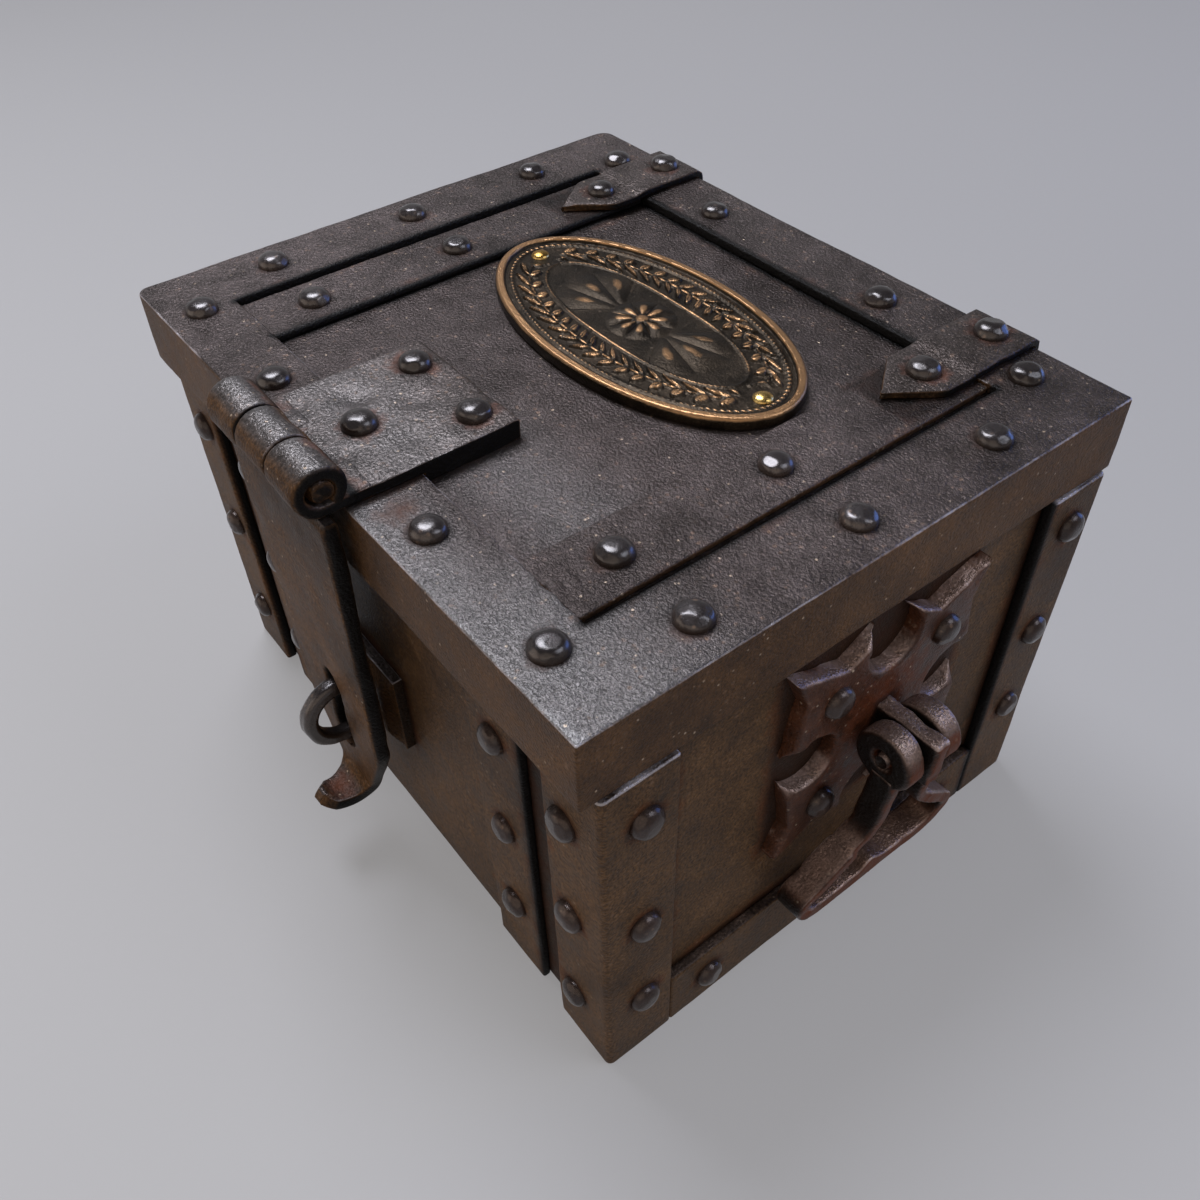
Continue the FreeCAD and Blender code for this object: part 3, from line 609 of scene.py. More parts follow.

# where the rivets are; rust gathers round them, and painted shade rings their feet
dice = np.random.default_rng(7)
rivetGroups = {"front_rivets": (0, -1, 0), "back_rivets": (0, 1, 0), "left_side_rivets": (-1, 0, 0),
               "right_side_rivets": (1, 0, 0), "left_handle_plate_rivets": (-1, 0, 0),
               "right_handle_plate_rivets": (1, 0, 0), "lid_rail_rivets": (0, 0, 1),
               "lid_strap_rivets": (0, 0, 1), "hinge_strap_rivets": (0, 0, 1),
               "hasp_leaf_rivets": (0, 0, 1)}
rivetSeats = {}
for group, outward in rivetGroups.items():
    outward = np.array(outward, float)
    rivetSeats[group] = [np.where(outward > 0, low, np.where(outward < 0, high, (low + high) / 2))
                         for low, high in solidsOf(group)]
allSeats = np.concatenate([np.array(seats) for seats in rivetSeats.values()])

# a distance that nothing on the box reaches
farAway = 1e6

# how skins are marked: sizes in mm; a pair is where a mark begins and where it is full; Up pairs are of the
# upward share of the normal, Turn pairs of its share along a given way
marking = {"sharpTurn": 42, "broad": 24, "fine": 4.5, "beadWay": (0.5, 0.8, 0.0), "beadRate": 1.5,
           "beadDrift": 4, "beadLump": 7, "beadHigh": 0.42, "beadFade": 3, "dentSpread": (0.7, 1.3),
           "dentFacing": 0.3, "bendGain": 1.4, "bendRounds": 2, "wearUp": (0.0, 0.5), "wearLeast": 0.4,
           "seat": 4.5, "middle": (0, 0, 80), "rustyTurn": (0.75, 0.95), "spotRust": 1.4,
           "sootyTurn": (0.6, 0.95), "footShade": 0.75, "footRun": 2.4, "slitShade": (-2.8, -1.2),
           "slitClean": (1.0, 3.0), "slitRust": 0.9, "slitReach": 9, "shineUp": (0.3, 0.8), "spotShade": 0.8,
           "patch": 4, "patchMean": 0.9, "patchSwing": 0.4, "ledgeWearAndSheen": 0.9, "ledgeUp": (0.4, 0.7),
           "ledgeDeep": 3, "rubSheenUp": (0.45, 0.9)}


def meshOf(name, shape):
    # a mesh in metres, its faces turned outward, smooth except where it turns sharply
    verts, quads, caps = shape
    mesh = bpy.data.meshes.new(name)
    mesh.from_pydata((verts * mm).tolist(), [], quads.tolist() + [cap.tolist() for cap in caps])
    work = bmesh.new()
    work.from_mesh(mesh)
    bmesh.ops.recalc_face_normals(work, faces=work.faces)
    work.to_mesh(mesh)
    work.free()
    mesh.polygons.foreach_set("use_smooth", np.ones(len(mesh.polygons), bool))
    mesh.set_sharp_from_angle(angle=np.radians(marking["sharpTurn"]))
    return mesh


def fromLine(points, start, end):
    # distance from each point to the nearest spot of a straight run
    start, end = np.array(start, float), np.array(end, float)
    share = np.clip((points - start) @ (end - start) / ((end - start) ** 2).sum(), 0, 1)
    return norms(points - start - share[:, None] * (end - start))


def aroundSpot(points, centre, radius):
    # 1 at the centre, falling straight to 0 at the radius
    return np.clip(1 - norms(points - centre) / radius, 0, 1)


def unevenness(skin, normals, weather, welds, dents):
    # broad and fine lumps, plus a sine ripple under a bell at each weld, minus flat-floored hammer dents
    uneven = weather[0] * lumps(skin, marking["broad"], 1) + weather[1] * lumps(skin, marking["fine"], 2)
    for centre, radius in welds:
        away = norms(skin - centre) / radius
        drift = marking["beadDrift"] * lumps(skin, marking["beadLump"], 3)
        bead = np.sin(marking["beadRate"] * (skin @ unit(np.array(marking["beadWay"]))) + drift)
        uneven = uneven + marking["beadHigh"] * np.exp(-marking["beadFade"] * away ** 2) * bead
    for spot in dice.integers(0, len(skin), dents[0]):
        away = norms(skin - skin[spot]) / (dents[1] * dice.uniform(*marking["dentSpread"]))
        uneven = uneven - dents[2] * np.exp(-away ** 4) * (normals @ normals[spot] > marking["dentFacing"])
    return uneven


def edgeWear(mesh, skin, normals):
    # how sharply the skin bends outward: the fall to each neighbour over their squared distance, averaged
    # over the neighbours, then evened out between them
    count = len(skin)
    edges = np.zeros(2 * len(mesh.edges), int)
    mesh.edges.foreach_get("vertices", edges)
    first, second = edges.reshape(-1, 2).T
    gap = skin[second] - skin[first]
    size = np.maximum((gap * gap).sum(1), 1e-6)
    bend = np.bincount(first, -2 * (normals[first] * gap).sum(1) / size, count)
    bend += np.bincount(second, 2 * (normals[second] * gap).sum(1) / size, count)
    ties = np.maximum(np.bincount(first, minlength=count) + np.bincount(second, minlength=count), 1)
    wear = np.clip(marking["bendGain"] * bend / ties, -1, 1)
    for again in range(marking["bendRounds"]):
        spread = np.bincount(first, wear[second], count) + np.bincount(second, wear[first], count)
        wear = 0.5 * wear + 0.5 * spread / ties
    return wear


def makePiece(name, shape, material, body, slot, nodes, weather=(0.12, 0.03), stains=(), reach=6.0, spots=(),
              sooty=(0, 0, 0), seats=allSeats, slits=(), slitFloor=-1.0, slitMost=1.0, shine=(),
              ledge=farAway, worn=1.0, welds=(), shadeSpots=(), relief=(farAway, 2 * farAway), dents=(0, 4.0, 0.3),
              rusty=(0, 0, 0)):
    # one finished piece on its body: an uneven skin, then each mark as the most of several eased distances.
    # weather: broad and fine lumps; dents: count, radius, depth; stains: nodes it rusts beside within reach,
    # with painted contact shade at them;
    # spots, shadeSpots (painted shadow), welds: centre and radius; slits (painted shade), shine (polish with
    # painted sheen): runs; sooty (darkened faces), rusty: ways; ledge, relief: levels
    mesh = meshOf(name, shape)
    skin = vertexVectors(mesh, "co") / mm
    normals = vertexVectors(mesh, "normal")
    skin = skin + normals * unevenness(skin, normals, weather, welds, dents)[:, None]
    mesh.vertices.foreach_set("co", (skin * mm).reshape(-1))
    mesh.update()
    normals = vertexVectors(mesh, "normal")
    upward, level = normals[:, 2], skin[:, 2]
    least = marking["wearLeast"]
    wear = worn * edgeWear(mesh, skin, normals) * (least + (1 - least) * smooth(upward, *marking["wearUp"]))
    near = np.full(len(skin), farAway)
    for seat in seats:
        near = np.minimum(near, norms(skin - seat) - marking["seat"])
    for node in stains:
        low, high = boxMm(node)
        near = np.minimum(near, norms(np.maximum(np.maximum(low - skin, skin - high), 0)))
    outer = ((skin - marking["middle"]) * normals).sum(1) > 0
    near = np.where(outer, near, farAway)
    rust = np.clip(1 - near / reach, 0, 1)
    rust = np.maximum(rust, smooth(normals @ np.array(rusty, float), *marking["rustyTurn"]))
    for centre, radius in spots:
        rust = np.maximum(rust, marking["spotRust"] * aroundSpot(skin, centre, radius))
    # faces along the given way are darkened, and painted contact shade is laid round rivet feet and beside
    # the listed parts
    soot = smooth(np.abs(normals @ np.array(sooty, float)), *marking["sootyTurn"])
    soot = np.maximum(soot, marking["footShade"] * smooth(-near, -marking["footRun"], 0))
    # painted shade in the slits between parts, with rust beside them and less wear
    for start, end in slits:
        away = np.where(level > slitFloor, fromLine(skin[:, :2], start, end), farAway)
        soot = np.maximum(soot, slitMost * smooth(-away, *marking["slitShade"]))
        wear = wear * smooth(away, *marking["slitClean"])
        rust = np.maximum(rust, marking["slitRust"] * np.clip(1 - away / marking["slitReach"], 0, 1))
    polishAndSheen = np.zeros(len(skin))
    # polish with a painted sheen on upward faces along each run
    for start, end, radius, most in shine:
        bright = smooth(-fromLine(skin, start, end), -radius, 0) * smooth(upward, *marking["shineUp"])
        polishAndSheen = np.maximum(polishAndSheen, most * bright)
    # painted shadow in round spots
    for centre, radius in shadeSpots:
        soot = np.maximum(soot, marking["spotShade"] * aroundSpot(skin, centre, radius))
    wear = np.maximum(wear, smooth(level, *relief))
    # the top ledge: bare-metal wear with a painted highlight on its upward faces
    patchy = np.clip(marking["patchMean"] + marking["patchSwing"] * lumps(skin, marking["patch"], 4), 0, 1)
    onLedge = smooth(upward, *marking["ledgeUp"]) * (level > ledge - marking["ledgeDeep"])
    wear = np.maximum(wear, marking["ledgeWearAndSheen"] * patchy * onLedge)
    # painted top sheen with rubbing: the upward share of the normal
    rubAndSheen = smooth(upward, *marking["rubSheenUp"])
    for mark, values in zip(marks, (np.clip(wear, 0, 1), rust, soot, rubAndSheen, polishAndSheen)):
        mesh.attributes.new(mark, "FLOAT", "POINT").data.foreach_set("value", values.astype(np.float32))
    mesh.materials.append(material)
    piece = bpy.data.objects.new(name, mesh)
    bpy.context.scene.collection.objects.link(piece)
    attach(piece, body)
    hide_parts(*nodes)
    return piece


def ironPiece(node, shape, material, body, slot, **details):
    # a piece that takes the place of the one node it is named after
    return makePiece(node + "_iron", shape, material, body, slot, [node], **details)


def forgedPiece(node, shape, body, **details):
    # such a piece in hammered iron
    return ironPiece(node, shape, forgedIron, body, "forged_iron", **details)


def turnedPin(end, long, base, outward):
    # one end's profile (radius, distance in) and its mirror image, turned about the pin's axis
    end = np.array(end, float)
    profile = np.concatenate([end, end[::-1] * (1, -1) + (0, long)])
    return lathe(densified(profile, 2, False), base, outward)


# walls of the body, with painted shade in the slits between straps and corner angles
wall = {"edge": 0.8, "frontSlit": 1.2, "backSlit": 0.6, "slitFrom": -1, "slitTo": 4}
strapSide, angleSide = boxMm("front_right_strap")[1][0], boxMm("front_right_corner_angle")[0][0]
frontSlit = boxMm("front_plate")[0][1] - wall["frontSlit"]
backSlit = boxMm("back_right_corner_angle")[0][1] - wall["backSlit"]
sideFace = boxMm("right_side_plate")[1][0]
bodySlits = []
for s in (-1, 1):
    bodySlits += [((s * strapSide, frontSlit), (s * angleSide, frontSlit)),
                  ((s * (sideFace + wall["slitFrom"]), backSlit),
                   (s * (sideFace + wall["slitTo"]), backSlit))]
sideStainAndShadeNodes = ["front_right_corner_angle", "back_right_corner_angle", "right_bottom_strap",
              "right_handle_plate"]
wallStainAndShadeNodes = {"right_side_plate": sideStainAndShadeNodes,
              "left_side_plate": [name.replace("right", "left") for name in sideStainAndShadeNodes],
              "front_plate": ["front_right_strap", "front_left_strap", "front_left_corner_angle",
                              "front_right_corner_angle", "staple_plate"],
              "back_plate": ["back_right_strap", "back_left_strap"], "bottom_plate": []}
for node, stains in wallStainAndShadeNodes.items():
    ironPiece(node, block(*boxMm(node), wall["edge"]), bodyIron, "box", "cast_iron_body",
              weather=(0.15, 0.05), stains=stains, reach=9.0, slits=bodySlits, slitMost=0.72)

# corner angles: an L outline carried up each corner
angle = {"outerRadius": 2.0, "sideRadius": 1.0, "rootRadius": 0.4, "edge": 0.7}
wallX = boxMm("front_plate")[1][0]
for place, wallY in (("front", boxMm("front_plate")[0][1]), ("back", boxMm("back_plate")[1][1])):
    low, high = boxMm(place + "_right_corner_angle")
    outer, inner = (low[1], high[1]) if place == "front" else (high[1], low[1])
    side = angle["sideRadius"]
    flat = outline([(low[0], outer, side), (high[0], outer, angle["outerRadius"]), (high[0], inner, side),
                    (wallX, inner, side), (wallX, wallY, angle["rootRadius"]), (low[0], wallY, side)])
    shape = prism(flat, low[2], high[2], "z", angle["edge"])
    # the top ledge of each angle is worn bare with a painted highlight
    for hand, one in (("right", shape), ("left", mirroredX(shape))):
        ironPiece(place + "_" + hand + "_corner_angle", one, bodyIron, "box", "cast_iron_body",
                  weather=(0.2, 0.06), ledge=high[2], slits=bodySlits)

# flat straps of the body
strap = {"edge": 0.9}
for node in ("front_left_strap", "front_right_strap", "back_left_strap", "back_right_strap",
             "left_bottom_strap", "right_bottom_strap"):
    # bottom straps darker on their top and bottom faces; painted shade in the slits
    ironPiece(node, block(*boxMm(node), strap["edge"]), bodyIron, "box", "cast_iron_body",
              weather=(0.2, 0.06), slits=bodySlits, worn=0.4,
              sooty=(0, 0, 0.6) if "bottom" in node else (0, 0, 0))
print("stage 4: body ready")

# rim of the lid: an angle profile carried round the four sides, each side with its own width
rim = {"frontRight": 0.8, "backRight": 1.2, "backLeft": 4.5, "frontLeft": 3.8, "topEdge": 0.8,
       "lowEdge": 0.7, "rootEdge": 0.3, "innerEdge": 0.6, "innerCorner": 0.4, "run": 12.0, "fixed": 2,
       "step": 1.6}
lidLow = boxMm("lid_front_rail")[0]
lidHigh = boxMm("lid_back_rail")[1]
lidTop = lidHigh[2]
skirt = boxMm("lid_plate")[0][0] - lidLow[0]
plateTop = boxMm("lid_plate")[1][2]
frontIn, backIn = boxMm("lid_front_rail")[1][1], boxMm("lid_back_rail")[0][1]
leftIn, rightIn = boxMm("lid_left_rail")[1][0], boxMm("lid_right_rail")[0][0]
widths = {"left": leftIn - lidLow[0], "right": lidHigh[0] - rightIn, "front": frontIn - lidLow[1],
          "back": lidHigh[1] - backIn}
deep = skirt + rim["run"]
profile = outline([(0, lidLow[2], rim["lowEdge"]), (skirt, lidLow[2], rim["lowEdge"]),
                   (skirt, plateTop, rim["rootEdge"]), (deep, plateTop, rim["rootEdge"]),
                   (deep, lidTop, rim["innerEdge"]), (0, lidTop, rim["topEdge"])], 1.0)
stretch = np.clip((profile[:, 0] - skirt) / (rim["run"] - rim["fixed"]), 0, 1)
inset = {side: profile[:, 0] + stretch * (width - deep) for side, width in widths.items()}
west, east = lidLow[0] + inset["left"], lidHigh[0] - inset["right"]
south, north = lidLow[1] + inset["front"], lidHigh[1] - inset["back"]
arcs = []
for name, start, edgeX, edgeY in (("frontRight", 270, east, south), ("backRight", 0, east, north),
                                  ("backLeft", 90, west, north), ("frontLeft", 180, west, south)):
    corner = np.maximum(rim[name] - profile[:, 0], rim["innerCorner"])
    turn = np.radians(np.linspace(start, start + 90, 7))[:, None]
    midX = edgeX + corner * (-1 if edgeX is east else 1)
    midY = edgeY + corner * (-1 if edgeY is north else 1)
    arcs.append(np.stack([midX + corner * np.cos(turn), midY + corner * np.sin(turn)], -1))
loop = []
for bow, after in zip(arcs, arcs[1:] + arcs[:1]):
    count = int(np.linalg.norm(after[0, 0] - bow[-1, 0]) / rim["step"])
    run = np.linspace(0, 1, count)[1:-1, None, None]
    loop += [bow, bow[-1] + run * (after[0] - bow[-1])]
loop = np.concatenate(loop)
rings = np.concatenate([loop, np.broadcast_to(profile[:, 1, None], loop.shape[:2] + (1,))], 2)
rimQuads = grid(len(rings), rings.shape[1], True, True)

# marks on the lid: painted shade in slits beside rim and straps, two welds at the front (across, behind the
# rail, radius) and polish with a painted sheen towards the front right corner (from x, rise at its end,
# radius, strength)
lidMarks = {"weather": (0.22, 0.08), "slitIn": 0.5, "slitDeep": 0.5, "rust": (30, -84, 12.0),
            "leftWeld": (52, 4, 17.0), "rightWeld": (14, 3, 13.0),
            "shine": ((30, 0, 26.0, 0.45), (24, 0, 2.4, 0.85), (90, 5, 55.0, 0.5), (106, 1, 6.0, 1.0))}
strapIn, strapOut = boxMm("lid_left_strap")[1][0], boxMm("lid_right_strap")[0][0]
slitIn = lidMarks["slitIn"]
slits = [((x, frontIn), (x, backIn)) for x in (leftIn + slitIn, strapIn, rightIn - slitIn)]
slits.append(((strapIn, backIn), (strapOut, backIn)))
weldX, weldY, weldRadius = lidMarks["leftWeld"]
welds = [((weldX, frontIn + weldY, lidTop), weldRadius)]
weldX, weldY, weldRadius = lidMarks["rightWeld"]
welds.append(((rightIn - weldX, frontIn + weldY, lidTop), weldRadius))
rustX, rustY, rustRadius = lidMarks["rust"]
hingeStraps = ["left_hinge_strap", "right_hinge_strap"]
onLid = {"slits": slits, "slitFloor": plateTop - lidMarks["slitDeep"], "welds": welds}
makePiece("lid_rim_iron", (rings.reshape(-1, 3), rimQuads, []), lidIron, "lid", "cast_iron_lid",
          ["lid_front_rail", "lid_back_rail", "lid_left_rail", "lid_right_rail"],
          weather=lidMarks["weather"], stains=["hasp_leaf"] + hingeStraps, reach=5.0,
          spots=[((rustX, rustY, lidTop), rustRadius)],
          shine=[((x, lidLow[1], lidTop), (lidHigh[0], lidLow[1] + rise, lidTop), radius, most)
                 for x, rise, radius, most in lidMarks["shine"]], **onLid)

# lid plate and the two straps on it
panel = {"edge": 0.5, "strapEdge": 0.8, "step": 1.4, "worn": 0.2, "shineFrom": (10, -55),
         "shineTo": (60, -50), "shineRadius": 26.0, "shineMost": 0.22}
# the plate: polish with a painted sheen towards the front, painted contact shade beside the hasp leaf and
# hinge straps
ironPiece("lid_plate", block(*boxMm("lid_plate"), panel["edge"], panel["step"]), lidIron, "lid",
          "cast_iron_lid", weather=(0.25, 0.09), reach=7.0, stains=["hasp_leaf"] + hingeStraps,
          worn=panel["worn"], shine=[((*panel["shineFrom"], plateTop), (*panel["shineTo"], plateTop),
                                      panel["shineRadius"], panel["shineMost"])], **onLid)
for node in ("lid_left_strap", "lid_right_strap"):
    ironPiece(node, block(*boxMm(node), panel["strapEdge"], panel["step"]), lidIron, "lid", "cast_iron_lid",
              weather=lidMarks["weather"], stains=hingeStraps, worn=panel["worn"], **onLid)
print("stage 5: lid ready")

# sizes of the handles, given here because the rivets of their plates stand on them; pairs are (along y, up)
handle = {"bite": 9.5, "biteUp": 29.5, "biteOut": 26.5, "mouthOut": 30, "mouthUp": 53,
          "lobe": ((31.0, 25.9), (36.0, 37.5), (16.9, 30.4)), "horns": ((34.7, 4.8), (5.7, 37.1)),
          "hornRun": 7.0, "hornThin": 0.3, "soften": 1.0, "outlineStep": 0.4, "plateStep": 1.2, "edge": 1.2,
          "proud": 1.2, "lugEdge": 1.4, "lugStep": 1.5,
          "pinEnd": ((0.3, -0.2), (2.0, 0.0), (2.8, 0.4), (3.0, 1.0)),
          "way": ((9.1, -4), (9.1, -31), (32.2, -54), (27.2, -64.7)), "bends": (0.2, 18.2, 6.2, 9.2),
          "startZ": -4.3, "cusp": 3.6, "cuspHalf": 3.2, "cuspZ": -55, "gripFrom": (37.0, 38.0), "arm": 2.0,
          "grip": 2.3, "depth": 4.9, "armSlim": 0.6, "shift": 1.1, "lean": 7.6, "neck": 13.0, "leanRun": 55,
          "barEdge": 1.0, "eye": 9.3, "bore": 3.1, "eyeHalf": 3.6, "eyeOut": 7.2, "eyeEdge": 1.2,
          "sooty": (0, 0.9, 0), "shineY": (-30, 40), "shineRadius": 90.0, "shineMost": 0.55}

# rivets: a domed profile turned round, then flattened a little by a few hammer blows
rivet = {"radius": 4.9, "height": 3.3, "spread": 0.05, "roundness": 0.68, "fullness": 0.95, "blows": 7,
         "deepest": 0.3, "lightest": 0.2, "blowLean": 0.75}


def rivetHead(seat, outward):
    # dome: radius times a power of cos t, height times a power of sin t; each blow cuts it back to a plane
    size = 1 + rivet["spread"] * dice.uniform(-1, 1)
    t = np.linspace(0, 0.497 * np.pi, 16)
    dome = np.stack([rivet["radius"] * size * np.cos(t) ** rivet["roundness"],
                     rivet["height"] * size * np.sin(t) ** rivet["fullness"]], 1)
    foot = np.array([[0.9 * dome[0, 0], -0.4], [dome[0, 0], -0.3]])
    verts, quads, caps = lathe(np.concatenate([foot, dome]), np.zeros(3), outward)
    for blow in range(rivet["blows"]):
        way = unit(np.asarray(outward, float) + rivet["blowLean"] * dice.normal(size=3))
        depth = verts @ way
        cut = np.maximum(depth - depth.max() + rivet["deepest"] * dice.uniform(rivet["lightest"], 1), 0)
        verts = verts - cut[:, None] * way
    return verts + seat, quads, caps


for group, outward in rivetGroups.items():
    body = "lid" if group.startswith(("lid", "hinge", "hasp")) else "box"
    lift = handle["proud"] if "handle" in group else 0.0
    heads = joined([rivetHead(seat + lift * np.array(outward), outward) for seat in rivetSeats[group]])
    ironPiece(group, heads, bodyRivetIron if body == "box" else rivetIron, body, "rivet_iron",
              weather=(0.05, 0.03), seats=())

# strap hinges: spear-tipped strap along the lid, over the back edge and down to two rolled knuckles
hinge = {"half": 11.0, "thick": 2.5, "tipRun": 15.0, "tipLeast": 0.05, "slotHalf": 4.0, "edge": 0.7,
         "joggle": 3.4, "bend": 1.5, "step": 1.5, "fallEnd": 6.5, "knuckle": 4.5, "bore": 2.55,
         "rollEdge": 0.6, "curlUp": 9, "curl": (150, -165), "leafGap": 0.7, "leafHalf": 3.7,
         "leafCurl": (230, -100), "leafTail": 3, "leafNeck": (0.5, 2.0), "pin": 2.5, "pinHead": 3.6}
hingePin = (np.array(frame["joints"][0]["pos_m"]) / mm)[1:]
strapTop = boxMm("lid_left_strap")[1][2]
for hand in ("left", "right"):
    low, high = boxMm(hand + "_hinge_strap")
    mid = (low[0] + high[0]) / 2
    t = hinge["thick"] / 2
    back = lidHigh[1] + t
    bend, step = hinge["bend"], hinge["step"]
    line = [(low[1], strapTop + t), (backIn - hinge["joggle"], strapTop + t), (backIn, lidTop + t),
            (back - bend, lidTop + t)]
    line = densified(np.array(line), step, False)
    bent = arc((back - bend, lidTop + t - bend), bend, 90, 0, 6)
    fall = densified(np.array([bent[-1], (back, hingePin[1] + hinge["fallEnd"])]), step, False)
    path = np.concatenate([line, bent[1:], fall[1:]])
    taper = np.clip((path[:, 0] - low[1]) / hinge["tipRun"], hinge["tipLeast"], 1) * hinge["half"]
    main = strip(path, mid, taper, t, hinge["edge"])
    mean = (hinge["knuckle"] + hinge["bore"]) / 2
    thick = (hinge["knuckle"] - hinge["bore"]) / 2
    half = (hinge["half"] - hinge["slotHalf"]) / 2
    curl = np.concatenate([[(back, hingePin[1] + hinge["curlUp"])], arc(hingePin, mean, *hinge["curl"], 26)])
    rolls = [strip(curl, mid + s * (hinge["half"] - half), half, thick, hinge["rollEdge"]) for s in (-1, 1)]
    forgedPiece(hand + "_hinge_strap", joined([main] + rolls), "lid", weather=(0.15, 0.08), sooty=(1, 0, 0),
                worn=0.3, dents=(30, 4.0, 0.2))
    low, high = boxMm(hand + "_hinge_leaf")
    leafTop = hingePin[1] - hinge["knuckle"] - hinge["leafGap"]
    plate = block((low[0], low[1], low[2]), (high[0], low[1] + hinge["thick"], leafTop), hinge["edge"])
    curl = arc(hingePin, mean, *hinge["leafCurl"], 28)
    curl = np.concatenate([[(low[1] + t, leafTop - hinge["leafTail"])], curl[0:1] - hinge["leafNeck"], curl])
    roll = strip(curl, mid, hinge["leafHalf"], thick, hinge["rollEdge"])
    forgedPiece(hand + "_hinge_leaf", joined([plate, roll]), "box", weather=(0.12, 0.06))
    low, high = boxMm(hand + "_hinge_pin")
    head = hinge["pinHead"]
    end = [(0.3, 0.02), (0.7 * head, 0.25), (head, 0.8), (head, 1.3), (hinge["pin"], 1.5)]
    pin = turnedPin(end, high[0] - low[0], np.array([low[0], *hingePin]), (1, 0, 0))
    forgedPiece(hand + "_hinge_pin", pin, "box")
print("stage 6: hinges ready")

# hasp leaf: plate on the lid stepped down behind the rim, its front rolled into two knuckles
leaf = {"edge": 0.5, "roll": 7.5, "bore": 3.7, "slotHalf": 8.7, "thick": 3.4, "stepGap": 0.2,
        "rollGap": 0.6, "corner": 0.7, "stepCorner": 0.3, "backCorner": 1.2, "step": 1.5, "curlFrom": 265,
        "curlTurn": 330, "tail": (14, 1.75), "neck": (4, 1.8), "rollEdge": 1.1, "slitGap": 0.3,
        "shineIn": 8, "shineY": -72, "shine": (34.0, 0.3), "rollShine": (6.0, 0.5),
        "pinEnd": ((0.3, -0.1), (2.2, 0.1), (3.2, 0.5), (3.5, 1.2))}
low, high = boxMm("hasp_leaf")
haspPin = np.array(frame["joints"][1]["pos_m"]) / mm
haspX = haspPin[0]
barrel = haspPin[1:]
leafTop = lidTop + leaf["thick"]
stepY = frontIn + leaf["stepGap"]
frontY = barrel[0] + leaf["roll"] + leaf["rollGap"]
flat = outline([(frontY, lidTop, leaf["corner"]), (stepY, lidTop, leaf["stepCorner"]),
                (stepY, plateTop, leaf["corner"]), (high[1], plateTop, leaf["corner"]),
                (high[1], leafTop, leaf["backCorner"]), (frontY, leafTop, leaf["corner"])])
plate = prism(flat, low[0], high[0], "x", leaf["edge"], leaf["step"])
mean = (leaf["roll"] + leaf["bore"]) / 2
thick = (leaf["roll"] - leaf["bore"]) / 2
start = np.array([leaf["tail"], leaf["neck"]]) + (barrel[0], lidTop)
curl = np.concatenate([start, arc(barrel, mean, leaf["curlFrom"], leaf["curlFrom"] - leaf["curlTurn"], 60)])
half = (high[0] - low[0]) / 4 - leaf["slotHalf"] / 2
rolls = [strip(curl, haspX + s * (leaf["slotHalf"] + half), half, thick, leaf["rollEdge"]) for s in (-1, 1)]
slitY = barrel[0] + leaf["roll"] + leaf["slitGap"]
# the leaf: darker sides, polish with a painted sheen on its flat and a painted highlight on top of its
# knuckles
forgedPiece("hasp_leaf", joined([plate] + rolls), "lid", weather=(0.3, 0.2), sooty=(1, 0, 0), worn=0.7,
            dents=(60, 4.0, 0.35), slits=[((low[0], slitY), (high[0], slitY))],
            shine=[((low[0] + leaf["shineIn"], leaf["shineY"], leafTop),
                    (high[0] - leaf["shineIn"], leaf["shineY"], leafTop), *leaf["shine"]),
                   ((low[0], barrel[0], high[2]), (high[0], barrel[0], high[2]), *leaf["rollShine"])])
low, high = boxMm("hasp_pin")
pin = turnedPin(leaf["pinEnd"], high[0] - low[0], np.array([low[0], *barrel]), (1, 0, 0))
forgedPiece("hasp_pin", pin, "lid", weather=(0.2, 0.35), sooty=(0.92, 0, 0), dents=(30, 2.0, 0.3))

# hasp: middle knuckle, short neck, and a slotted strap following a J path with a curled lip
hasp = {"thick": 5.0, "halfTop": 26.5, "halfLow": 22.6, "lowZ": 61.0, "lip": 5.5, "lipStarts": 1.53,
        "lipFalls": 2.35, "tipRound": 0.9, "tipBlunt": 0.4, "slotHalf": 4.5, "slotLeast": 0.5,
        "slotLow": 45.5, "slotHigh": 82.0, "slotTopRun": 9, "slotFootRun": 4.5, "openFrom": 0.05,
        "topZ": 155.3, "curlZ": 34.6, "curlInner": 6.7, "turn": 137.0, "edge": 1.2, "ahead": 0.5,
        "rows": 82, "tipRows": (0.6, 1.1, 1.5, 1.75, 1.9), "borderSteps": (0, 0.2, 0.5, 1.0, 1.6),
        "borderMost": 0.22, "lipRust": 12.0, "shadeSpots": ((10, 160, 34.0), (0, 62, 14.0), (24, 100, 20.0)),
        "knuckleHalf": 8.4, "knuckleEdge": 1.1, "knuckleFrom": 200, "knuckleTurn": 310, "tail": (-8, 1),
        "shineHalf": 9, "shineUp": 7}
midY = barrel[0] - hasp["ahead"]
curlMean = hasp["curlInner"] + hasp["thick"] / 2
curlY = midY - curlMean
rows = hasp["rows"]
hang = np.stack([np.full(rows, midY), np.linspace(hasp["topZ"], hasp["curlZ"], rows)], 1)
bow = arc((curlY, hasp["curlZ"]), curlMean, 0, -hasp["turn"], 22)
lipUp = bow[-1] + unit(bow[-1] - bow[-2]) * np.array(hasp["tipRows"])[:, None]
path = np.concatenate([hang, bow[1:], lipUp])
run = runAlong(path)
lowRun = hasp["topZ"] - hasp["lowZ"]
ending = np.clip((run - lowRun) / (run[-1] - lowRun), 0, 1)
halfWidth = hasp["halfTop"] + (hasp["halfLow"] - hasp["halfTop"]) * np.clip(run / lowRun, 0, 1)
halfWidth = hasp["lip"] + (halfWidth - hasp["lip"]) * (1 - ending ** hasp["lipStarts"]) ** hasp["lipFalls"]
tip = np.clip((run[-1] - run + hasp["tipBlunt"]) / hasp["lip"], 0, 1)
